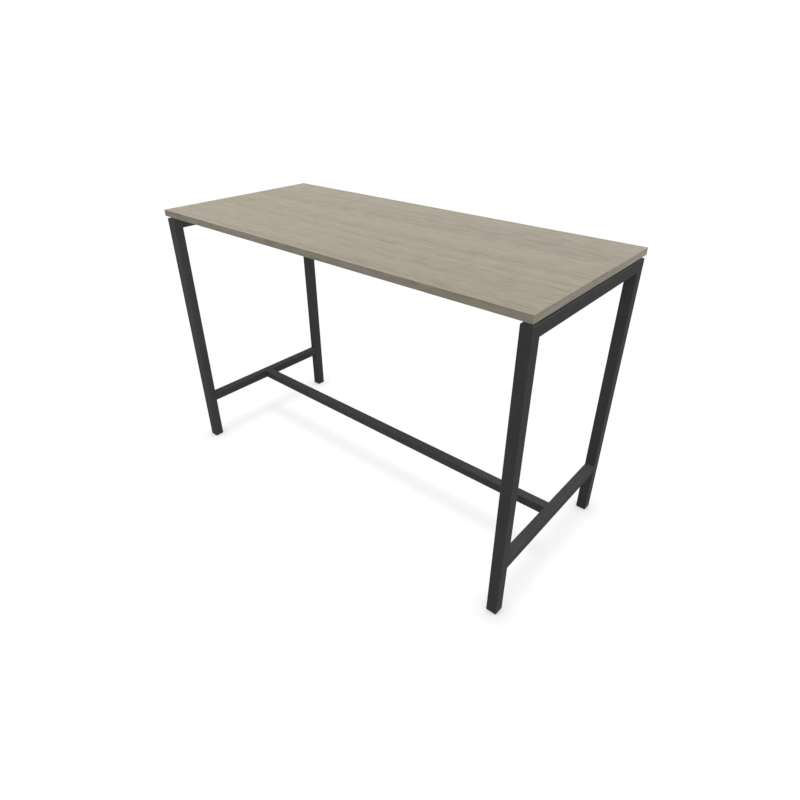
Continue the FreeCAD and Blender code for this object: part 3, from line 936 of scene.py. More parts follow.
@dataclass(frozen=True)
class Plated(Finish):
    """Metal with a thin plating: zinc on steel, or turned brass."""

    wear: float = 0.6
    metal: float = 1.0
    colour: Colour = (0.62, 0.63, 0.64)
    stain: Colour = (0.50, 0.50, 0.46)
    worn_level: float = 1.3
    clouds: Pattern = Pattern((4, 4, 4), detail=3.0, rough=0.6, low=0.4)
    rough: Range = (0.28, 0.44)
    rub_rough: float = 0.12
    skin: float = 0.25 * MM
    relief: float = 0.006 * MM

    def lay(self, bench: NodeBench, place: bpy.types.NodeSocket) -> Look:
        """Lay the plating: cloudy stains, rub marks and brighter edges.

        Args:
            bench: The material's nodes.
            place: Place on the piece.

        Returns:
            Sockets for the shader, by input.
        """
        clouds = bench.lay_out(self.clouds, place)
        stained = bench.blend(bench.remap(clouds, self.clouds.low), opaque(self.colour), opaque(self.stain))
        rub = bench.use(handling(), Place=place)["Rub"]
        skin = bench.use(grit(), Place=place, Size=self.skin)
        worn = self.worn(bench, place)
        rough = bench.between(clouds, self.rough)
        return {"Base Color": bench.blend(worn, stained, opaque(self.colour, self.worn_level)),
                "Roughness": bench.plus(rough, bench.times(rub, self.rub_rough)),
                "Normal": bench.raised(skin["Height"], self.relief)}


@dataclass(frozen=True)
class Moulded(Finish):
    """Moulded plastic with an eroded skin."""

    wear: float = 0.5
    gloss: float = 0.35
    colour: Colour = (0.020, 0.020, 0.021)
    mottle: Range = (0.85, 1.2)
    rub: Colour = (0.085, 0.082, 0.078)
    rub_share: float = 0.3
    rough: Range = (0.48, 0.62)
    skin: float = 0.5 * MM
    relief: float = 0.03 * MM

    def lay(self, bench: NodeBench, place: bpy.types.NodeSocket) -> Look:
        """Lay the plastic: its pebbled skin, pale rubbed edges and scuffs.

        Args:
            bench: The material's nodes.
            place: Place on the piece.

        Returns:
            Sockets for the shader, by input.
        """
        skin = bench.use(grit(), Place=place, Size=self.skin)
        marks = bench.use(handling(), Place=place)
        dark, light = (opaque(self.colour, level) for level in self.mottle)
        scuffs = bench.times(marks["Rub"], self.rub_share)
        rubbed = bench.maths("MAXIMUM", self.worn(bench, place), scuffs)
        colour = bench.blend(bench.remap(skin["Tone"]), dark, light)
        return {"Base Color": bench.blend(rubbed, colour, opaque(self.rub)),
                "Roughness": bench.between(marks["Smudge"], self.rough),
                "Normal": bench.raised(skin["Height"], self.relief)}


@dataclass(frozen=True)
class Chipboard(Finish):
    """Raw chipboard: pressed chips with dark gaps between them."""

    pale: Colour = (0.62, 0.49, 0.33)
    deep: Colour = (0.40, 0.28, 0.17)
    chip: Span = (3.5 * MM, 2.1 * MM, 1.05 * MM)
    gap: Range = (0.55, 0.8)
    gap_level: float = 0.6
    rough: Range = (0.75, 0.9)
    relief: float = 0.2 * MM

    def lay(self, bench: NodeBench, place: bpy.types.NodeSocket) -> Look:
        """Lay the chips.

        Args:
            bench: The material's nodes.
            place: Place on the piece.

        Returns:
            Sockets for the shader, by input.
        """
        flat = bench.stretch(place, self.chip)
        chips = bench.add("ShaderNodeSeparateXYZ", {0: bench.cells(flat, "Color")}).outputs["X"]
        gaps = bench.remap(bench.cells(flat), *self.gap)
        colour = bench.blend(chips, opaque(self.pale), opaque(self.deep))
        return {"Base Color": bench.blend(gaps, colour, opaque(self.deep, self.gap_level)),
                "Roughness": bench.remap(chips, 0.0, 1.0, *self.rough),
                "Normal": bench.raised(bench.maths("SUBTRACT", 1.0, gaps), self.relief)}


OAK_TOP = OakDecor("oak_top", shift=(1.681, 1.544, 1.215))
OAK_UNDER = OakDecor("oak_under", shift=(0.7, 0.35, 0.2), level=0.95)
# The long edge bands carry the top's oak decor, but lighter than the top: painted light on the front and
# back faces.
OAK_LONG_EDGE_PAINTED_LIGHT = OakDecor("oak_long_edge", shift=(-0.38, -1.78, -1.05), pale=(0.524, 0.474, 0.375),
                         deep=(0.284, 0.248, 0.181))
# The end bands carry the top's oak decor, but darker than the top: painted shade on the end faces.
OAK_END_EDGE_PAINTED_SHADE = OakDecor("oak_end_edge", grain=Grain.CROSSWAYS, shift=(-2.601, -1.004, 0.77),
                        pale=(0.433, 0.389, 0.315), deep=(0.252, 0.219, 0.165))
COAT = PowderCoat("powder_coat")
ZINC = Plated("zinc_plate")
BRASS = Plated("turned_brass", colour=(0.72, 0.55, 0.28), stain=(0.48, 0.33, 0.15), rough=(0.24, 0.40))
PLASTIC = Moulded("moulded_plastic")
FOOT_PLASTIC = Moulded("foot_plastic", colour=(0.026, 0.026, 0.026), skin=0.8 * MM)
CHIPS = Chipboard("chipboard")


# Stock


@dataclass(frozen=True)
class TubeStock:
    """Square or rectangular steel tube."""

    wall: float
    corner: float
    rim: float = 0.3 * MM
    shoulder: float = 1.2 * MM
    corner_segments: int = 4
    rim_segments: int = 2


LEG_TUBE = TubeStock(wall=2 * MM, corner=2 * MM)
RAIL_TUBE = TubeStock(wall=2 * MM, corner=1.5 * MM)
BEAM_TUBE = TubeStock(wall=2 * MM, corner=2 * MM)
# A fillet weld's steps: the share of its length and of its height that each one adds up to.
WELD_CURVE = ((0.35, 0.10), (0.65, 0.36), (0.88, 0.70), (1.0, 1.0))


class TubeLength(Workpiece):
    """A length of tube with rounded corners and sharp ends."""

    def __init__(self, name: str, stock: TubeStock, box: Box, axis: Axis) -> None:
        """Cut the length.

        Args:
            name: Name for the piece.
            stock: The tube that it is cut from.
            box: Its lowest and highest corner.
            axis: The way that it runs.
        """
        add_block(*box)
        super().__init__(name)
        self.stock = stock
        self.low, self.high = box
        self.axis = axis
        self.pick_facing(axis, -1, 1)
        bpy.ops.mesh.inset(thickness=stock.wall)
        bpy.ops.mesh.bridge_edge_loops()
        self.pick_edges(self.on_corner)
        self.round_picked(stock.corner, stock.corner_segments)

    def on_corner(self, start: Vector, end: Vector) -> bool:
        """Return whether an edge runs along an outer corner."""
        return runs_along(self.axis)(start, end) and all(
            min(abs(start[number] - self.low[number]), abs(start[number] - self.high[number])) < NEAR
            for number in self.axis.others)

    def on_outside(self, middle: Vector, normal: Vector) -> bool:
        """Return whether a face is an outer flat."""
        return any(abs(normal[number]) > SQUARE_ON
                   and abs(middle[number] - (self.high if normal[number] > 0 else self.low)[number]) < NEAR
                   for number in self.axis.others)

    def clear_of_bore(self, point: Vector) -> bool:
        """Return whether a point lies outside the bore."""
        away, bore = point - (self.low + self.high) / 2, (self.high - self.low) / 2
        return any(abs(away[number]) > bore[number] - self.stock.wall + NEAR for number in self.axis.others)

    def add_shoulders(self) -> None:
        """Give each outer flat a border."""
        self.pick_faces(self.on_outside)
        self.border_picked(self.stock.shoulder)

    def round_rim(self, place: float) -> None:
        """Take the sharpness off the outer rim of one end.

        Args:
            place: Where the end lies along the tube.
        """
        at_end = lies_at(self.axis, place)
        self.pick_edges(lambda start, end: at_end(start, end) and self.clear_of_bore(start)
                        and self.clear_of_bore(end))
        self.round_picked(self.stock.rim, self.stock.rim_segments)

    def add_welds(self, swell: Span, length: float) -> None:
        """Lengthen both ends into fillet welds.

        Args:
            swell: How much the weld stands out on each axis.
            length: How far it reaches along the tube.
        """
        size = self.high - self.low
        for sign, corner in ((-1, self.low), (1, self.high)):
            self.pick_facing(self.axis, sign)
            middle = (self.low + self.high) / 2
            middle[self.axis.value] = corner[self.axis.value]
            gone, grown = 0.0, Vector((1, 1, 1))
            for reach, out in WELD_CURVE:
                step = self.axis.vector * sign * length * (reach - gone)
                wanted = Vector(tuple(1 + 2 * out * part / whole for part, whole in zip(swell, size)))
                self.push_picked(step, Vector(tuple(new / old for new, old in zip(wanted, grown))), middle)
                middle += step
                gone, grown = reach, wanted


@dataclass(frozen=True)
class AccessHole:
    """A hole in the lower wall of a tube, for the tool that turns a screw of the top."""

    radius: float = 6.5 * MM
    depth: float = 5 * MM
    flare: float = 0.4 * MM

    def drill(self, piece: Workpiece, mouths: Sequence[Vector]) -> None:
        """Drill holes upwards into a piece, each from its mouth."""
        for mouth in mouths:
            piece.drill(mouth, Axis.Z.vector, self.radius, self.depth, self.flare)


# Sub-assemblies


@dataclass(frozen=True)
class TableTop:
    """The board: its laminates and the edge bands round it."""

    band_radius: float = 1.0 * MM
    band_segments: int = 4
    seam: float = 0.12 * MM
    shoulder: float = 1.2 * MM
    long_edge: float = 50 * MM

    def build(self) -> None:
        """Model and dress every layer and band."""
        self.make_sheet("decor_laminate", OAK_TOP)
        self.make_sheet("backing_laminate", OAK_UNDER)
        for side, back in FRONT_BACK:
            self.make_band(f"edge_band_{side}", Axis.Y, back, OAK_LONG_EDGE_PAINTED_LIGHT)
        for end, right in LEFT_RIGHT:
            self.make_band(f"edge_band_{end}", Axis.X, right, OAK_END_EDGE_PAINTED_SHADE)

    def make_sheet(self, node: str, finish: Finish) -> None:
        """Model one laminate, with its rim broken where it meets the bands.

        Args:
            node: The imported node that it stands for.
            finish: Its finish.
        """
        vertical = runs_along(Axis.Z)
        sheet = Workpiece.block(f"{node}_sheet", *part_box(node))
        sheet.pick_edges(lambda start, end: not vertical(start, end))
        sheet.round_picked(self.seam, 1)
        sheet.pick_facing(Axis.Z, -1, 1)
        sheet.border_picked(self.shoulder)
        sheet.dress(finish, node, node)

    def make_band(self, node: str, facing: Axis, sign: int, finish: Finish) -> None:
        """Model one edge band: rounded outside, with a fine seam inside.

        The bands of the long sides cover the ends of the other two, which are rounded only
        along their two long outer edges.

        Args:
            node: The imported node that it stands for.
            facing: The axis that its outer face looks along.
            sign: Which way along that axis.
            finish: Its finish.
        """
        low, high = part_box(node)
        outer, inner = (high, low) if sign > 0 else (low, high)
        at_outside = lies_at(facing, outer[facing.value])
        at_inside = lies_at(facing, inner[facing.value])
        lengthways = runs_along(Axis.Y)
        band = Workpiece.block(f"{node}_strip", low, high)
        band.pick_edges(lambda start, end: at_outside(start, end)
                        and (facing is Axis.Y or lengthways(start, end)))
        band.round_picked(self.band_radius, self.band_segments)
        band.pick_edges(lambda start, end: at_inside(start, end) and (start - end).length > self.long_edge)
        band.round_picked(self.seam, 1)
        band.pick_facing(facing, sign)
        band.border_picked(self.shoulder)
        band.dress(finish, "edge_band", node)


@dataclass(frozen=True)
class EndFrames:
    """The two welded end frames: legs, crossbars and foot rails."""

    access: AccessHole = AccessHole()
    weld_length: float = 2.0 * MM
    weld_out: Span = (0.9 * MM, 0.0, 1.8 * MM)

    def build(self) -> None:
        """Model and dress both end frames."""
        self.make_legs()
        self.make_crossbars()
        self.make_foot_rails()

    def make_legs(self) -> None:
        """Model one leg, mitred at its top, and place its copies."""
        low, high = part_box("leg_front_left")
        leg = TubeLength("leg_front_left_tube", LEG_TUBE, (low, high), Axis.Z)
        leg.cut_away(Vector((0, low.y, high.z)), Vector((0, 1, 1)).normalized())
        leg.round_rim(low.z)
        leg.add_shoulders()
        right = leg.copied("leg_front_right_tube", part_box("leg_front_right")[0] - low)
        dress_all({
            "leg_front_left": leg,
            "leg_front_right": right,
            "leg_back_right": leg.copied("leg_back_right_tube", half_turn=True),
            "leg_back_left": right.copied("leg_back_left_tube", half_turn=True),
        }, COAT, "coated_steel")

    def make_crossbars(self) -> None:
        """Model one crossbar, mitred at its ends and drilled from below, and its copy."""
        low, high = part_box("crossbar_left")
        bar = TubeLength("crossbar_left_tube", LEG_TUBE, (low, high), Axis.Y)
        for end, sign in ((low.y, -1), (high.y, 1)):
            bar.cut_away(Vector((0, end, high.z)), Vector((0, sign, -1)).normalized())
        bar.add_shoulders()
        middle = (low.x + high.x) / 2
        self.access.drill(bar, [Vector((middle, step * CROSSBAR_PITCH, low.z)) for step in THREE_STEPS])
        other = bar.copied("crossbar_right_tube", half_turn=True)
        dress_all({"crossbar_left": bar, "crossbar_right": other}, COAT, "coated_steel")

    def make_foot_rails(self) -> None:
        """Model one foot rail with the welds at its ends, and its copy."""
        low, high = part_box("foot_rail_left")
        inset = Axis.Y.vector * self.weld_length
        rail = TubeLength("foot_rail_left_tube", RAIL_TUBE, (low + inset, high - inset), Axis.Y)
        rail.add_shoulders()
        rail.add_welds(self.weld_out, self.weld_length)
        other = rail.copied("foot_rail_right_tube", half_turn=True)
        dress_all({"foot_rail_left": rail, "foot_rail_right": other}, COAT, "coated_steel")


@dataclass(frozen=True)
class SocketScrew:
    """A screw with a low round head and a hexagon socket."""

    head_radius: float = 5.5 * MM
    head_height: float = 3.5 * MM
    head_round: float = 0.9 * MM
    head_steps: int = 3
    socket_flats: float = 4.0 * MM
    socket_depth: float = 2.0 * MM
    sink_share: float = 0.56
    sink_depth: float = 0.3 * MM
    sink_flare: float = 0.15 * MM
    thread_radius: float = 3.0 * MM
    tip: float = 0.6 * MM
    length: float = 14 * MM
    clearance: float = 1.0 * MM

    def make(self, name: str, seat: Vector, heading: Vector) -> Workpiece:
        """Model the screw.

        Args:
            name: Name for the piece.
            seat: Middle of the face that its head rests on.
            heading: Unit vector from the head to the tip.

        Returns:
            The screw.
        """
        angles = [math.pi / 2 * step / self.head_steps for step in range(self.head_steps + 1)]
        crown = [(self.head_radius - self.head_round * (1 - math.sin(angle)),
                  -self.head_height + self.head_round * (1 - math.cos(angle))) for angle in angles]
        outline = [
            (0.0, -self.head_height),
            *crown,
            (self.head_radius, 0.0),
            (self.thread_radius, 0.0),
            (self.thread_radius, self.length - self.tip),
            (self.thread_radius - self.tip, self.length),
            (0.0, self.length),
        ]
        screw = Workpiece.turned(name, seat, heading, outline, SMALL_STEPS)
        mouth = seat - heading * self.head_height
        key = Workpiece.hexagon("key", mouth - heading * self.clearance, heading, self.socket_flats,
                                self.socket_depth + self.clearance)
        screw.meet(key, Meeting.CUT)
        screw.drill(mouth, heading, self.socket_flats * self.sink_share, self.sink_depth, self.sink_flare)
        return screw


@dataclass(frozen=True)
class Stretcher:
    """The stretcher between the end frames, with the screws under its ends."""

    screw: SocketScrew = SocketScrew()
    screw_pitch: float = 22 * MM

    def build(self) -> None:
        """Model and dress the stretcher and its screws."""
        low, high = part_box("stretcher")
        tube = TubeLength("stretcher_tube", RAIL_TUBE, (low, high), Axis.X)
        for end in (low.x, high.x):
            tube.round_rim(end)
        tube.add_shoulders()
        tube.dress(COAT, "coated_steel", "stretcher")
        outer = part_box("stretcher_screws")[1].x - self.screw.head_radius
        screws = self.screw.make("stretcher_screws_set", Vector((outer, 0, low.z)), Axis.Z.vector)
        others = (-outer, outer - self.screw_pitch, self.screw_pitch - outer)
        screws.repeat([Vector((across - outer, 0, 0)) for across in others])
        screws.dress(ZINC, "zinc_steel", "stretcher_screws")


@dataclass(frozen=True)
class UnderBeams:
    """The two beams under the top, with their end plates and bolts."""

    access: AccessHole = AccessHole()
    plate_corner: float = 3 * MM
    plate_segments: int = 4
    plate_rim: float = 0.5 * MM
    plate_rim_segments: int = 2
    plate_border: float = 1.0 * MM
    bolt_pitch: float = 44 * MM
    weld_length: float = 2.5 * MM
    weld_out: Span = (0.0, 2.2 * MM, 0.0)
    bolt: SocketScrew = SocketScrew()

    def build(self) -> None:
        """Model and dress the beams, plates and bolts."""
        self.make_beams()
        self.make_plates()
        self.make_bolts()

    def make_beams(self) -> None:
        """Model one beam, drilled from below and flared at its welds, and its copy."""
        low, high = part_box("beam_front")
        inset = Axis.X.vector * self.weld_length
        beam = TubeLength("beam_front_tube", BEAM_TUBE, (low + inset, high - inset), Axis.X)
        beam.add_shoulders()
        beam.add_welds(self.weld_out, self.weld_length)
        middle = (low.y + high.y) / 2
        self.access.drill(beam, [Vector((step * BEAM_PITCH, middle, low.z)) for step in THREE_STEPS])
        other = beam.copied("beam_back_tube", half_turn=True)
        dress_all({"beam_front": beam, "beam_back": other}, COAT, "coated_steel")

    def make_plates(self) -> None:
        """Model one end plate with rounded corners, and its copies."""
        low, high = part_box("beam_plate_front_left")
        through = runs_along(Axis.X)
        plate = Workpiece.block("beam_plate_front_left_steel", low, high)
        plate.pick_edges(through)
        plate.round_picked(self.plate_corner, self.plate_segments)
        plate.pick_edges(lambda start, end: not through(start, end))
        plate.round_picked(self.plate_rim, self.plate_rim_segments)
        plate.pick_facing(Axis.X, -1, 1)
        plate.border_picked(self.plate_border)
        behind = plate.copied("beam_plate_back_left_steel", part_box("beam_plate_back_left")[0] - low)
        dress_all({
            "beam_plate_front_left": plate,
            "beam_plate_back_left": behind,
            "beam_plate_back_right": plate.copied("beam_plate_back_right_steel", half_turn=True),
            "beam_plate_front_right": behind.copied("beam_plate_front_right_steel", half_turn=True),
        }, COAT, "coated_steel")

    def make_bolts(self) -> None:
        """Model one bolt and copy it to its place at both ends of both beams."""
        low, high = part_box("beam_bolts_left")
        beam_y = high.y - self.bolt.head_radius - self.bolt_pitch / 2
        places = [side * beam_y + step * self.bolt_pitch / 2 for side in (-1, 1) for step in (-1, 1)]
        first = Vector((high.x - self.bolt.head_height, places[0], (low.z + high.z) / 2))
        bolts = self.bolt.make("beam_bolts_left_set", first, -Axis.X.vector)
        bolts.repeat([Axis.Y.vector * (place - places[0]) for place in places[1:]])
        other = bolts.copied("beam_bolts_right_set", half_turn=True)
        dress_all({"beam_bolts_left": bolts, "beam_bolts_right": other}, ZINC, "zinc_steel")


@dataclass(frozen=True)
class TopFixings:
    """The spacers between frame and board, and the screws that go up through them."""

    bore: float = 3.4 * MM
    chamfer: float = 0.6 * MM
    waist: float = 0.5 * MM
    waist_start: float = 0.25
    waist_end: float = 0.32
    tube_wall: float = LEG_TUBE.wall
    screw: SocketScrew = SocketScrew(length=25 * MM)

    def build(self) -> None:
        """Model one spacer and one screw and copy them to every fixing."""
        low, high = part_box("top_spacers")
        bar = sum(corner.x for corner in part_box("crossbar_right")) / 2
        beam = sum(corner.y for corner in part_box("beam_back")) / 2
        places = [Vector((end * bar, step * CROSSBAR_PITCH, low.z))
                  for end in (-1, 1) for step in THREE_STEPS]
        places += [Vector((step * BEAM_PITCH, side * beam, low.z))
                   for side in (-1, 1) for step in THREE_STEPS]
        first, *others = places
        shifts = [place - first for place in others]
        spacers = self.make_spacer(first, high.x - bar, high.z - low.z)
        seat = first - Axis.Z.vector * self.tube_wall
        screws = self.screw.make("top_screws_set", seat, Axis.Z.vector)
        spacers.repeat(shifts)
        screws.repeat(shifts)
        spacers.dress(PLASTIC, "black_plastic", "top_spacers")
        screws.dress(ZINC, "zinc_steel", "top_screws")

    def make_spacer(self, foot: Vector, radius: float, tall: float) -> Workpiece:
        """Model a spacer: a ring with a shallow waist.

        Args:
            foot: Middle of its underside.
            radius: Its radius.
            tall: Its height.

        Returns:
            The spacer.
        """
        outline = [
            (self.bore, 0.0),
            (radius - self.chamfer, 0.0),
            (radius, self.chamfer),
            (radius, tall * self.waist_start),
            (radius - self.waist, tall * self.waist_end),
            (radius - self.waist, tall * (1 - self.waist_end)),
            (radius, tall * (1 - self.waist_start)),
            (radius, tall - self.chamfer),
            (radius - self.chamfer, tall),
            (self.bore, tall),
            (self.bore, 0.0),
        ]
        return Workpiece.turned("top_spacers_set", foot, Axis.Z.vector, outline, SMALL_STEPS)


@dataclass(frozen=True)
class LevellingFeet:
    """In each leg: the plug, the foot's pad and its threaded stem.

    The pad's edges are outlines, each point as how far in from the pad's side it lies, and
    how far from its end. The thread's tooth is one too, as shares of its depth and pitch.
    """

    lip_thickness: float = 2 * MM
    lip_corner: float = 2 * MM
    lip_corner_segments: int = 4
    lip_rim: float = 0.5 * MM
    lip_rim_segments: int = 3
    plug_inset: float = 1.8 * MM
    recess_radius: float = 15 * MM
    recess_flare: float = 0.4 * MM
    ceiling: float = 9.4 * MM
    stem_hole: float = 4.3 * MM
    nut_radius: float = 6.05 * MM
    nut_depth: float = 12 * MM
    bevel: float = 0.3 * MM
    grooves: tuple[float, ...] = (3.0 * MM, 6.6 * MM, 10.2 * MM)
    groove_depth: float = 0.4 * MM
    land: float = 2.0 * MM
    lower_edge: Outline = ((0.9 * MM, 0.0), (0.3 * MM, 0.25 * MM), (0.0, 0.9 * MM))
    upper_edge: Outline = ((0.0, 1.1 * MM), (0.25 * MM, 0.45 * MM), (0.9 * MM, 0.15 * MM))
    neck_share: float = 0.6
    play: float = 0.1 * MM
    disc_low: float = 1.3 * MM
    disc_high: float = 3.4 * MM
    disc_radius: float = 5 * MM
    collar_flats: float = 13 * MM
    collar_low: float = 5.2 * MM
    collar_high: float = 9.2 * MM
    collar_rim: float = 0.2 * MM
    collar_slope: float = math.radians(30)
    clearance: float = 0.1 * MM
    stem_radius: float = 4 * MM
    thread_pitch: float = 1.25 * MM
    thread_depth: float = 0.67 * MM
    thread_steps: int = 24
    tooth: Outline = ((0.0, 0.0), (0.0, 0.18), (1.0, 0.52), (1.0, 0.66), (0.0, 1.0))
    spare_turns: int = 3
    run_in: float = 0.11 * MM

    def build(self) -> None:
        """Model the foot of one leg and copy it to the others."""
        low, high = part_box("foot_pad_front_left")
        middle = (low + high) / 2
        foot = Vector((middle.x, middle.y, low.z))
        plug = self.make_plug()
        pad = self.make_pad(foot, high.x - middle.x, high.z - low.z)
        stem = self.make_stem(foot)
        self.fit(plug, "leg_plug", PLASTIC, "black_plastic")
        self.fit(pad, "foot_pad", FOOT_PLASTIC, "foot_pad", "pad")
        self.fit(stem, "foot_stem", ZINC, "zinc_steel", "stem")

    def fit(self, piece: Workpiece, node: str, finish: Finish, slot: str, body: str = "") -> None:
        """Copy a piece from the first leg to the others and dress all four.

        Args:
            piece: The piece in the first leg.
            node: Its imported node, without the leg.
            finish: Its finish.
            slot: The record's material slot for it.
            body: The body that it rides on, without the leg, or nothing for the table.
        """
        first, *others = LEGS
        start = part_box(f"foot_pad_{first}")[0]
        fitted = {first: piece}
        for leg in others:
            name = piece.thing.name.replace(first, leg)
            fitted[leg] = piece.copied(name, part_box(f"foot_pad_{leg}")[0] - start)
        for leg, part in fitted.items():
            part.dress(finish, slot, f"{node}_{leg}", f"{body}_{leg}" if body else TABLE)

    def make_plug(self) -> Workpiece:
        """Model the plug: a lip under the tube, a block inside it and the foot's recess.

        Returns:
            The plug.
        """
        low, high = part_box("leg_plug_front_left")
        up = Axis.Z.vector
        lip_top = Vector((high.x, high.y, low.z + self.lip_thickness))
        plug = Workpiece.block("leg_plug_front_left_moulding", low, lip_top)
        plug.pick_edges(runs_along(Axis.Z))
        plug.round_picked(self.lip_corner, self.lip_corner_segments)
        plug.pick_edges(lies_at(Axis.Z, low.z))
        plug.round_picked(self.lip_rim, self.lip_rim_segments)
        plug.pick_facing(Axis.Z, 1)
        bpy.ops.mesh.inset(thickness=self.plug_inset)
        bpy.ops.mesh.extrude_region_move(TRANSFORM_OT_translate={"value": up * (high.z - lip_top.z)})
        mouth = Vector(((low.x + high.x) / 2, (low.y + high.y) / 2, low.z))
        depth = self.ceiling - low.z
        plug.drill(mouth, up, self.recess_radius, depth, self.recess_flare)
        plug.drill(mouth + up * depth, up, self.stem_hole, high.z, self.bevel)
        plug.drill(Vector((mouth.x, mouth.y, high.z)), -up, self.nut_radius, self.nut_depth, self.bevel)
        return plug

    def make_pad(self, foot: Vector, radius: float, tall: float) -> Workpiece:
        """Model the pad: grooved below, rounded outside, with the socket for the stem's disc.

        Args:
            foot: Middle of its underside.
            radius: Its radius.
            tall: Its height.

        Returns:
            The pad.
        """
        tread = [(0.0, self.groove_depth)]
        for inner in self.grooves:
            outer = inner + self.land
            tread += [(inner, self.groove_depth), (inner + self.bevel, 0.0), (outer, 0.0),
                      (outer + self.bevel, self.groove_depth)]
        flank = [(radius - inwards, rise) for inwards, rise in self.lower_edge]
        flank += [(radius - inwards, tall - drop) for inwards, drop in self.upper_edge]
        socket = [
            (self.collar_flats * self.neck_share, tall),
            (self.stem_hole + self.bevel, tall),
            (self.stem_hole, tall - self.bevel),
            (self.stem_hole, self.disc_high + self.play),
            (self.disc_radius + self.bevel, self.disc_high + self.play),
            (self.disc_radius + self.bevel, self.disc_low - self.play),
            (0.0, self.disc_low - self.play),
        ]
        outline = tread[:-1] + flank + socket
        return Workpiece.turned("foot_pad_front_left_moulding", foot, Axis.Z.vector, outline, PAD_STEPS)

    def make_stem(self, foot: Vector) -> Workpiece:
        """Model the stem: the disc, the hexagon collar and the thread above it.

        Args:
            foot: Middle of the pad's underside.

        Returns:
            The stem.
        """
        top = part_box("foot_stem_front_left")[1].z - foot.z
        neck = self.stem_radius - self.thread_depth
        core = [
            (0.0, self.disc_low),
            (self.disc_radius - self.bevel, self.disc_low),
            (self.disc_radius, self.disc_low + self.bevel),
            (self.disc_radius, self.disc_high - self.bevel),
            (self.disc_radius - self.bevel, self.disc_high),
            (neck, self.disc_high),
            (neck, self.collar_low),
            (0.0, self.collar_low),
        ]
        stem = Workpiece.turned("foot_stem_front_left_turning", foot, Axis.Z.vector, core, SMALL_STEPS)
        stem.absorb([self.make_collar(foot), self.make_thread(foot, self.collar_high, top)])
        return stem

    def make_collar(self, foot: Vector) -> Workpiece:
        """Model the hexagon collar, its corners chamfered as on a nut.

        Args:
            foot: Middle of the pad's underside.

        Returns:
            The collar.
        """
        up = Axis.Z.vector
        low, high = self.collar_low, self.collar_high
        corner = self.collar_flats / math.sqrt(3)
        flat = self.collar_flats / 2 - self.collar_rim
        drop = (corner - flat) * math.tan(self.collar_slope)
        beyond = corner + self.clearance
        collar = Workpiece.hexagon("collar", foot + up * low, up, self.collar_flats, high - low)
        nut = [
            (0.0, low),
            (flat, low),
            (beyond, low + drop),
            (beyond, high - drop),
            (flat, high),
            (0.0, high),
        ]
        collar.meet(Workpiece.turned("round_off", foot, up, nut, PAD_STEPS), Meeting.SHARED)
        return collar

    def make_thread(self, foot: Vector, low: float, high: float) -> Workpiece:
        """Model the thread by winding one tooth round the stem.

        Args:
            foot: Middle of the pad's underside.
            low: Height where it starts.
            high: Height where it ends.

        Returns:
            The thread.
        """
        pitch, depth = self.thread_pitch, self.thread_depth
        start = Vector((self.stem_radius - depth, 0, low - self.spare_turns / 2 * pitch))
        places = [foot + start + Vector((out * depth, 0, rise * pitch)) for out, rise in self.tooth]
        thread = Workpiece.line("thread", places)
        thread.take_up()
        bpy.context.scene.cursor.location = foot
        bpy.ops.object.origin_set(type="ORIGIN_CURSOR")
        turns = math.ceil((high - low) / pitch) + self.spare_turns
        thread.apply("SCREW", screw_offset=pitch, iterations=turns, steps=self.thread_steps,
                     render_steps=self.thread_steps)
        bpy.ops.object.transform_apply(location=True, rotation=True, scale=True)
        thread.close_seams()
        for height, normal in ((low - self.run_in, -1), (high, 1)):
            bpy.ops.mesh.select_all(action="SELECT")
            bpy.ops.mesh.bisect(plane_co=foot + Vector((0, 0, height)), plane_no=(0, 0, normal),
                                clear_outer=True, use_fill=True, threshold=NEAR)
        thread.close_seams()
        return thread


@dataclass(frozen=True)
class KeptNodes:
    """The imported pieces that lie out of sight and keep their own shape."""

    def build(self) -> None:
        """Give each kept node a material of its own kind."""
        finishes = {
            CHIPS: ("top_core",),
            BRASS: ("top_inserts", "leg_nuts"),
            ZINC: ("rivet_nuts_left", "rivet_nuts_right"),
            COAT: ("stretcher_spigot_left", "stretcher_spigot_right"),
        }
        for finish, nodes in finishes.items():
            for node in nodes:
                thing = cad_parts[node]
                thing.data.materials.clear()
                thing.data.materials.append(material_for(finish))
                log.info("%s keeps its shape, in %s", node, finish.name)


# The stage


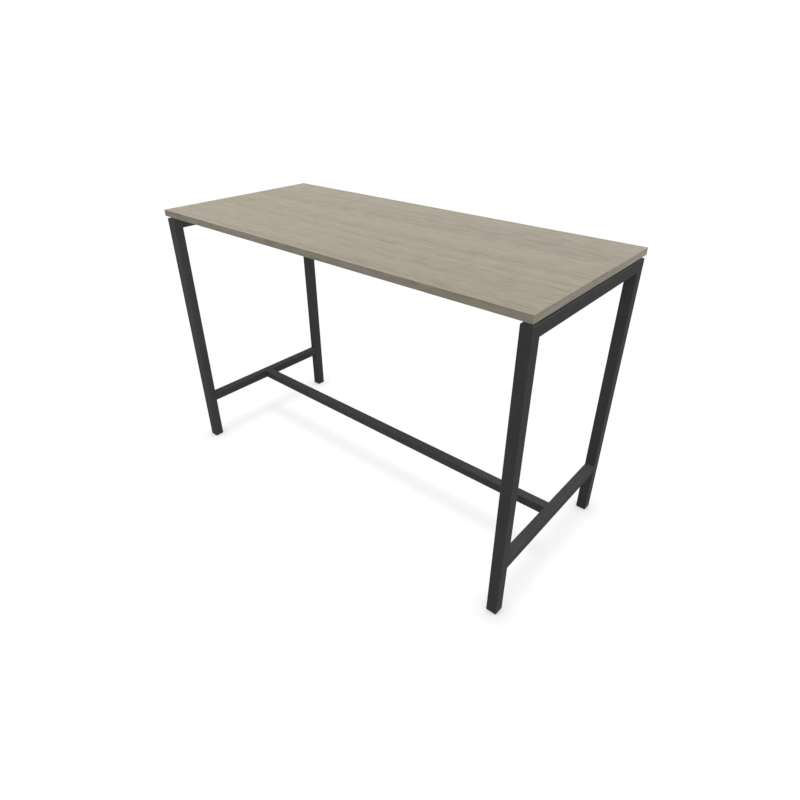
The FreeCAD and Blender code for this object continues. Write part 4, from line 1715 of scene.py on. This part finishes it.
@dataclass(frozen=True)
class Studio:
    """Camera, lights and a plain pale floor."""

    lens: float = 25.4745
    sensor: float = 36.0
    camera_place: Span = (1.4338, -1.5575, 1.6447)
    camera_azimuth: float = math.radians(40.596)
    camera_drop: float = math.radians(31.231)
    sky_level: float = 0.24
    sun_place: Span = (0.0, 0.0, 3.0)
    key_strength: float = 1.34
    key_spread: float = math.radians(60)
    key_tilt: tuple[float, float] = (math.radians(4), math.radians(16))
    side_strength: float = 0.93
    side_spread: float = math.radians(15)
    side_tilt: tuple[float, float] = (0.0, math.radians(25))
    fill_place: Span = (-0.2, -1.35, 0.9)
    fill_aim: Span = (-0.5, 0.0, 0.6)
    fill_size: float = 0.6
    fill_power: float = 5.4
    under_strength: float = 5.2
    under_spread: float = math.radians(26)
    floor_half: float = 40.0
    floor_bounce: float = 0.235
    floor_seen: float = 0.12
    floor_glow: float = 0.79
    near_reach: float = 12 * MM
    near_share: float = 0.32
    far_reach: float = 60 * MM
    far_share: float = 0.39
    shade_samples: int = 8

    def build(self) -> None:
        """Set up the whole stage."""
        self.place_camera()
        self.light_sky()
        self.hang_lights(self.lay_floor())

    def place_camera(self) -> None:
        """Place the camera."""
        turn = (math.pi / 2 - self.camera_drop, 0, self.camera_azimuth)
        bpy.ops.object.camera_add(location=self.camera_place, rotation=turn)
        camera = bpy.context.object
        camera.data.lens = self.lens
        camera.data.sensor_width = self.sensor
        bpy.context.scene.camera = camera

    def seen_directly(self, bench: NodeBench) -> bpy.types.NodeSocket:
        """Make the mask of rays that show the stage: from the camera, a gloss or glass.

        Args:
            bench: The nodes that it is added to.

        Returns:
            1 for such rays.
        """
        path = bench.add("ShaderNodeLightPath").outputs
        glossy = bench.maths("MAXIMUM", path["Is Glossy Ray"], path["Is Transmission Ray"])
        return bench.maths("MAXIMUM", path["Is Camera Ray"], glossy)

    def light_sky(self) -> None:
        """Light the surroundings evenly, and show them white."""
        world = bpy.data.worlds.new("sky")
        bpy.context.scene.world = world
        world.use_nodes = True
        bench = NodeBench(world.node_tree)
        sky = world.node_tree.nodes["Background"].inputs
        bench.feed(sky["Color"], WHITE)
        bench.feed(sky["Strength"], bench.remap(self.seen_directly(bench), 0.0, 1.0, self.sky_level, 1.0))

    def open_share(self, bench: NodeBench, reach: float, share: float) -> bpy.types.NodeSocket:
        """Make a share that the floor keeps where nothing stands near.

        Args:
            bench: The nodes that it is added to.
            reach: How near counts, in metres.
            share: What is kept in the open.

        Returns:
            The share, less where something stands near.
        """
        inputs = {"Distance": reach}
        clear = bench.add("ShaderNodeAmbientOcclusion", inputs, samples=self.shade_samples).outputs["AO"]
        return bench.times(clear, share)

    def lay_floor(self) -> bpy.types.Object:
        """Lay the floor: white to the camera, darker where the table shades and touches it.

        Returns:
            The floor.
        """
        clear_bench()
        bpy.ops.mesh.primitive_plane_add(size=2 * self.floor_half)
        floor = bpy.context.object
        floor.name = "floor"
        material = bpy.data.materials.new("pale_floor")
        material.use_nodes = True
        tree = material.node_tree
        tree.nodes.remove(tree.nodes["Principled BSDF"])
        bench = NodeBench(tree)
        seen = self.seen_directly(bench)
        shade = bench.plus(self.open_share(bench, self.near_reach, self.near_share),
                           self.open_share(bench, self.far_reach, self.far_share))
        shade = bench.plus(shade, 1 - self.near_share - self.far_share)
        glow = bench.times(bench.times(shade, seen), self.floor_glow)
        albedo = bench.remap(seen, 0.0, 1.0, self.floor_bounce, self.floor_seen)
        grey = bench.add("ShaderNodeCombineXYZ", {0: albedo, 1: albedo, 2: albedo}).outputs[0]
        matt = bench.add("ShaderNodeBsdfDiffuse", {"Color": grey}).outputs[0]
        light = bench.add("ShaderNodeEmission", {"Strength": glow}).outputs[0]
        above = bench.add("ShaderNodeAddShader", {0: matt, 1: light}).outputs[0]
        below = bench.add("ShaderNodeBsdfTransparent").outputs[0]
        backfacing = bench.add("ShaderNodeNewGeometry").outputs["Backfacing"]
        surface = bench.add("ShaderNodeMixShader", {0: backfacing, 1: above, 2: below}).outputs[0]
        bench.feed(tree.nodes["Material Output"].inputs["Surface"], surface)
        floor.data.materials.append(material)
        floor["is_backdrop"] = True
        return floor

    def hang_lights(self, floor: bpy.types.Object) -> None:
        """Hang a broad key light, a narrower one from the right end and a fill for the frame.

        A last one draws the frame's shade on the floor, and lights nothing else.

        Args:
            floor: The floor.
        """
        board = self.pieces_named("top_core", "edge_band", "decor_laminate", "backing_laminate")
        not_floor = self.group("all_but_floor", [floor], Linking.ALL_BUT)
        key = self.hang_sun("key", self.key_strength, self.key_spread, self.key_tilt)
        key.light_linking.receiver_collection = not_floor
        key.light_linking.blocker_collection = self.group("all_but_board", board, Linking.ALL_BUT)
        side = self.hang_sun("side", self.side_strength, self.side_spread, self.side_tilt)
        side.light_linking.receiver_collection = not_floor
        fill = self.hang_fill()
        fill.light_linking.receiver_collection = self.group("frame_only", [floor, *board], Linking.ALL_BUT)
        under = self.hang_sun("under", self.under_strength, self.under_spread, (0.0, 0.0))
        under.light_linking.receiver_collection = self.group("floor_only", [floor], Linking.ONLY)
        low_frame = self.pieces_named("leg_", "foot_", "stretcher")
        under.light_linking.blocker_collection = self.group("low_frame", low_frame, Linking.ONLY)

    def pieces_named(self, *starts: str) -> list[bpy.types.Object]:
        """Return the object's pieces whose names start in one of some ways."""
        return [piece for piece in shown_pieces() if piece.name.startswith(starts)]

    def hang_fill(self) -> bpy.types.Object:
        """Hang a soft square lamp in front of the left end, out of the camera's sight.

        Returns:
            The light.
        """
        place = Vector(self.fill_place)
        turn = (Vector(self.fill_aim) - place).to_track_quat("-Z", "Y").to_euler()
        bpy.ops.object.light_add(type="AREA", location=place, rotation=turn)
        fill = bpy.context.object
        fill.name = "fill"
        fill.data.size = self.fill_size
        fill.data.energy = self.fill_power
        fill.visible_camera = False
        return fill

    def hang_sun(self, name: str, strength: float, spread: float,
                 tilt: tuple[float, float]) -> bpy.types.Object:
        """Hang one soft sun.

        Args:
            name: Its name.
            strength: Its strength.
            spread: How wide it looks, as an angle.
            tilt: Its tilts about X and Y from straight above.

        Returns:
            The light.
        """
        bpy.ops.object.light_add(type="SUN", location=self.sun_place, rotation=(*tilt, 0))
        sun = bpy.context.object
        sun.name = name
        sun.data.energy = strength
        sun.data.angle = spread
        return sun

    def group(self, name: str, members: Sequence[bpy.types.Object],
              linking: Linking) -> bpy.types.Collection:
        """Gather objects for a light.

        Args:
            name: Name of the collection.
            members: The objects.
            linking: Whether they are the ones meant, or the ones left out.

        Returns:
            The collection.
        """
        gathered = bpy.data.collections.new(name)
        for member in members:
            gathered.objects.link(member)
        for link in gathered.collection_objects:
            link.light_linking.link_state = linking.value
        return gathered


def main() -> None:
    """Build every sub-assembly, then the stage."""
    logging.basicConfig(level=logging.INFO, format="%(message)s")
    clear_bench()
    assemblies = (TableTop(), EndFrames(), Stretcher(), UnderBeams(), TopFixings(), LevellingFeet(),
                  KeptNodes())
    for assembly in assemblies:
        log.info("-- %s", type(assembly).__name__)
        assembly.build()
    Studio().build()
    bpy.context.scene.view_settings.view_transform = "Standard"


if __name__ == "__main__":
    main()
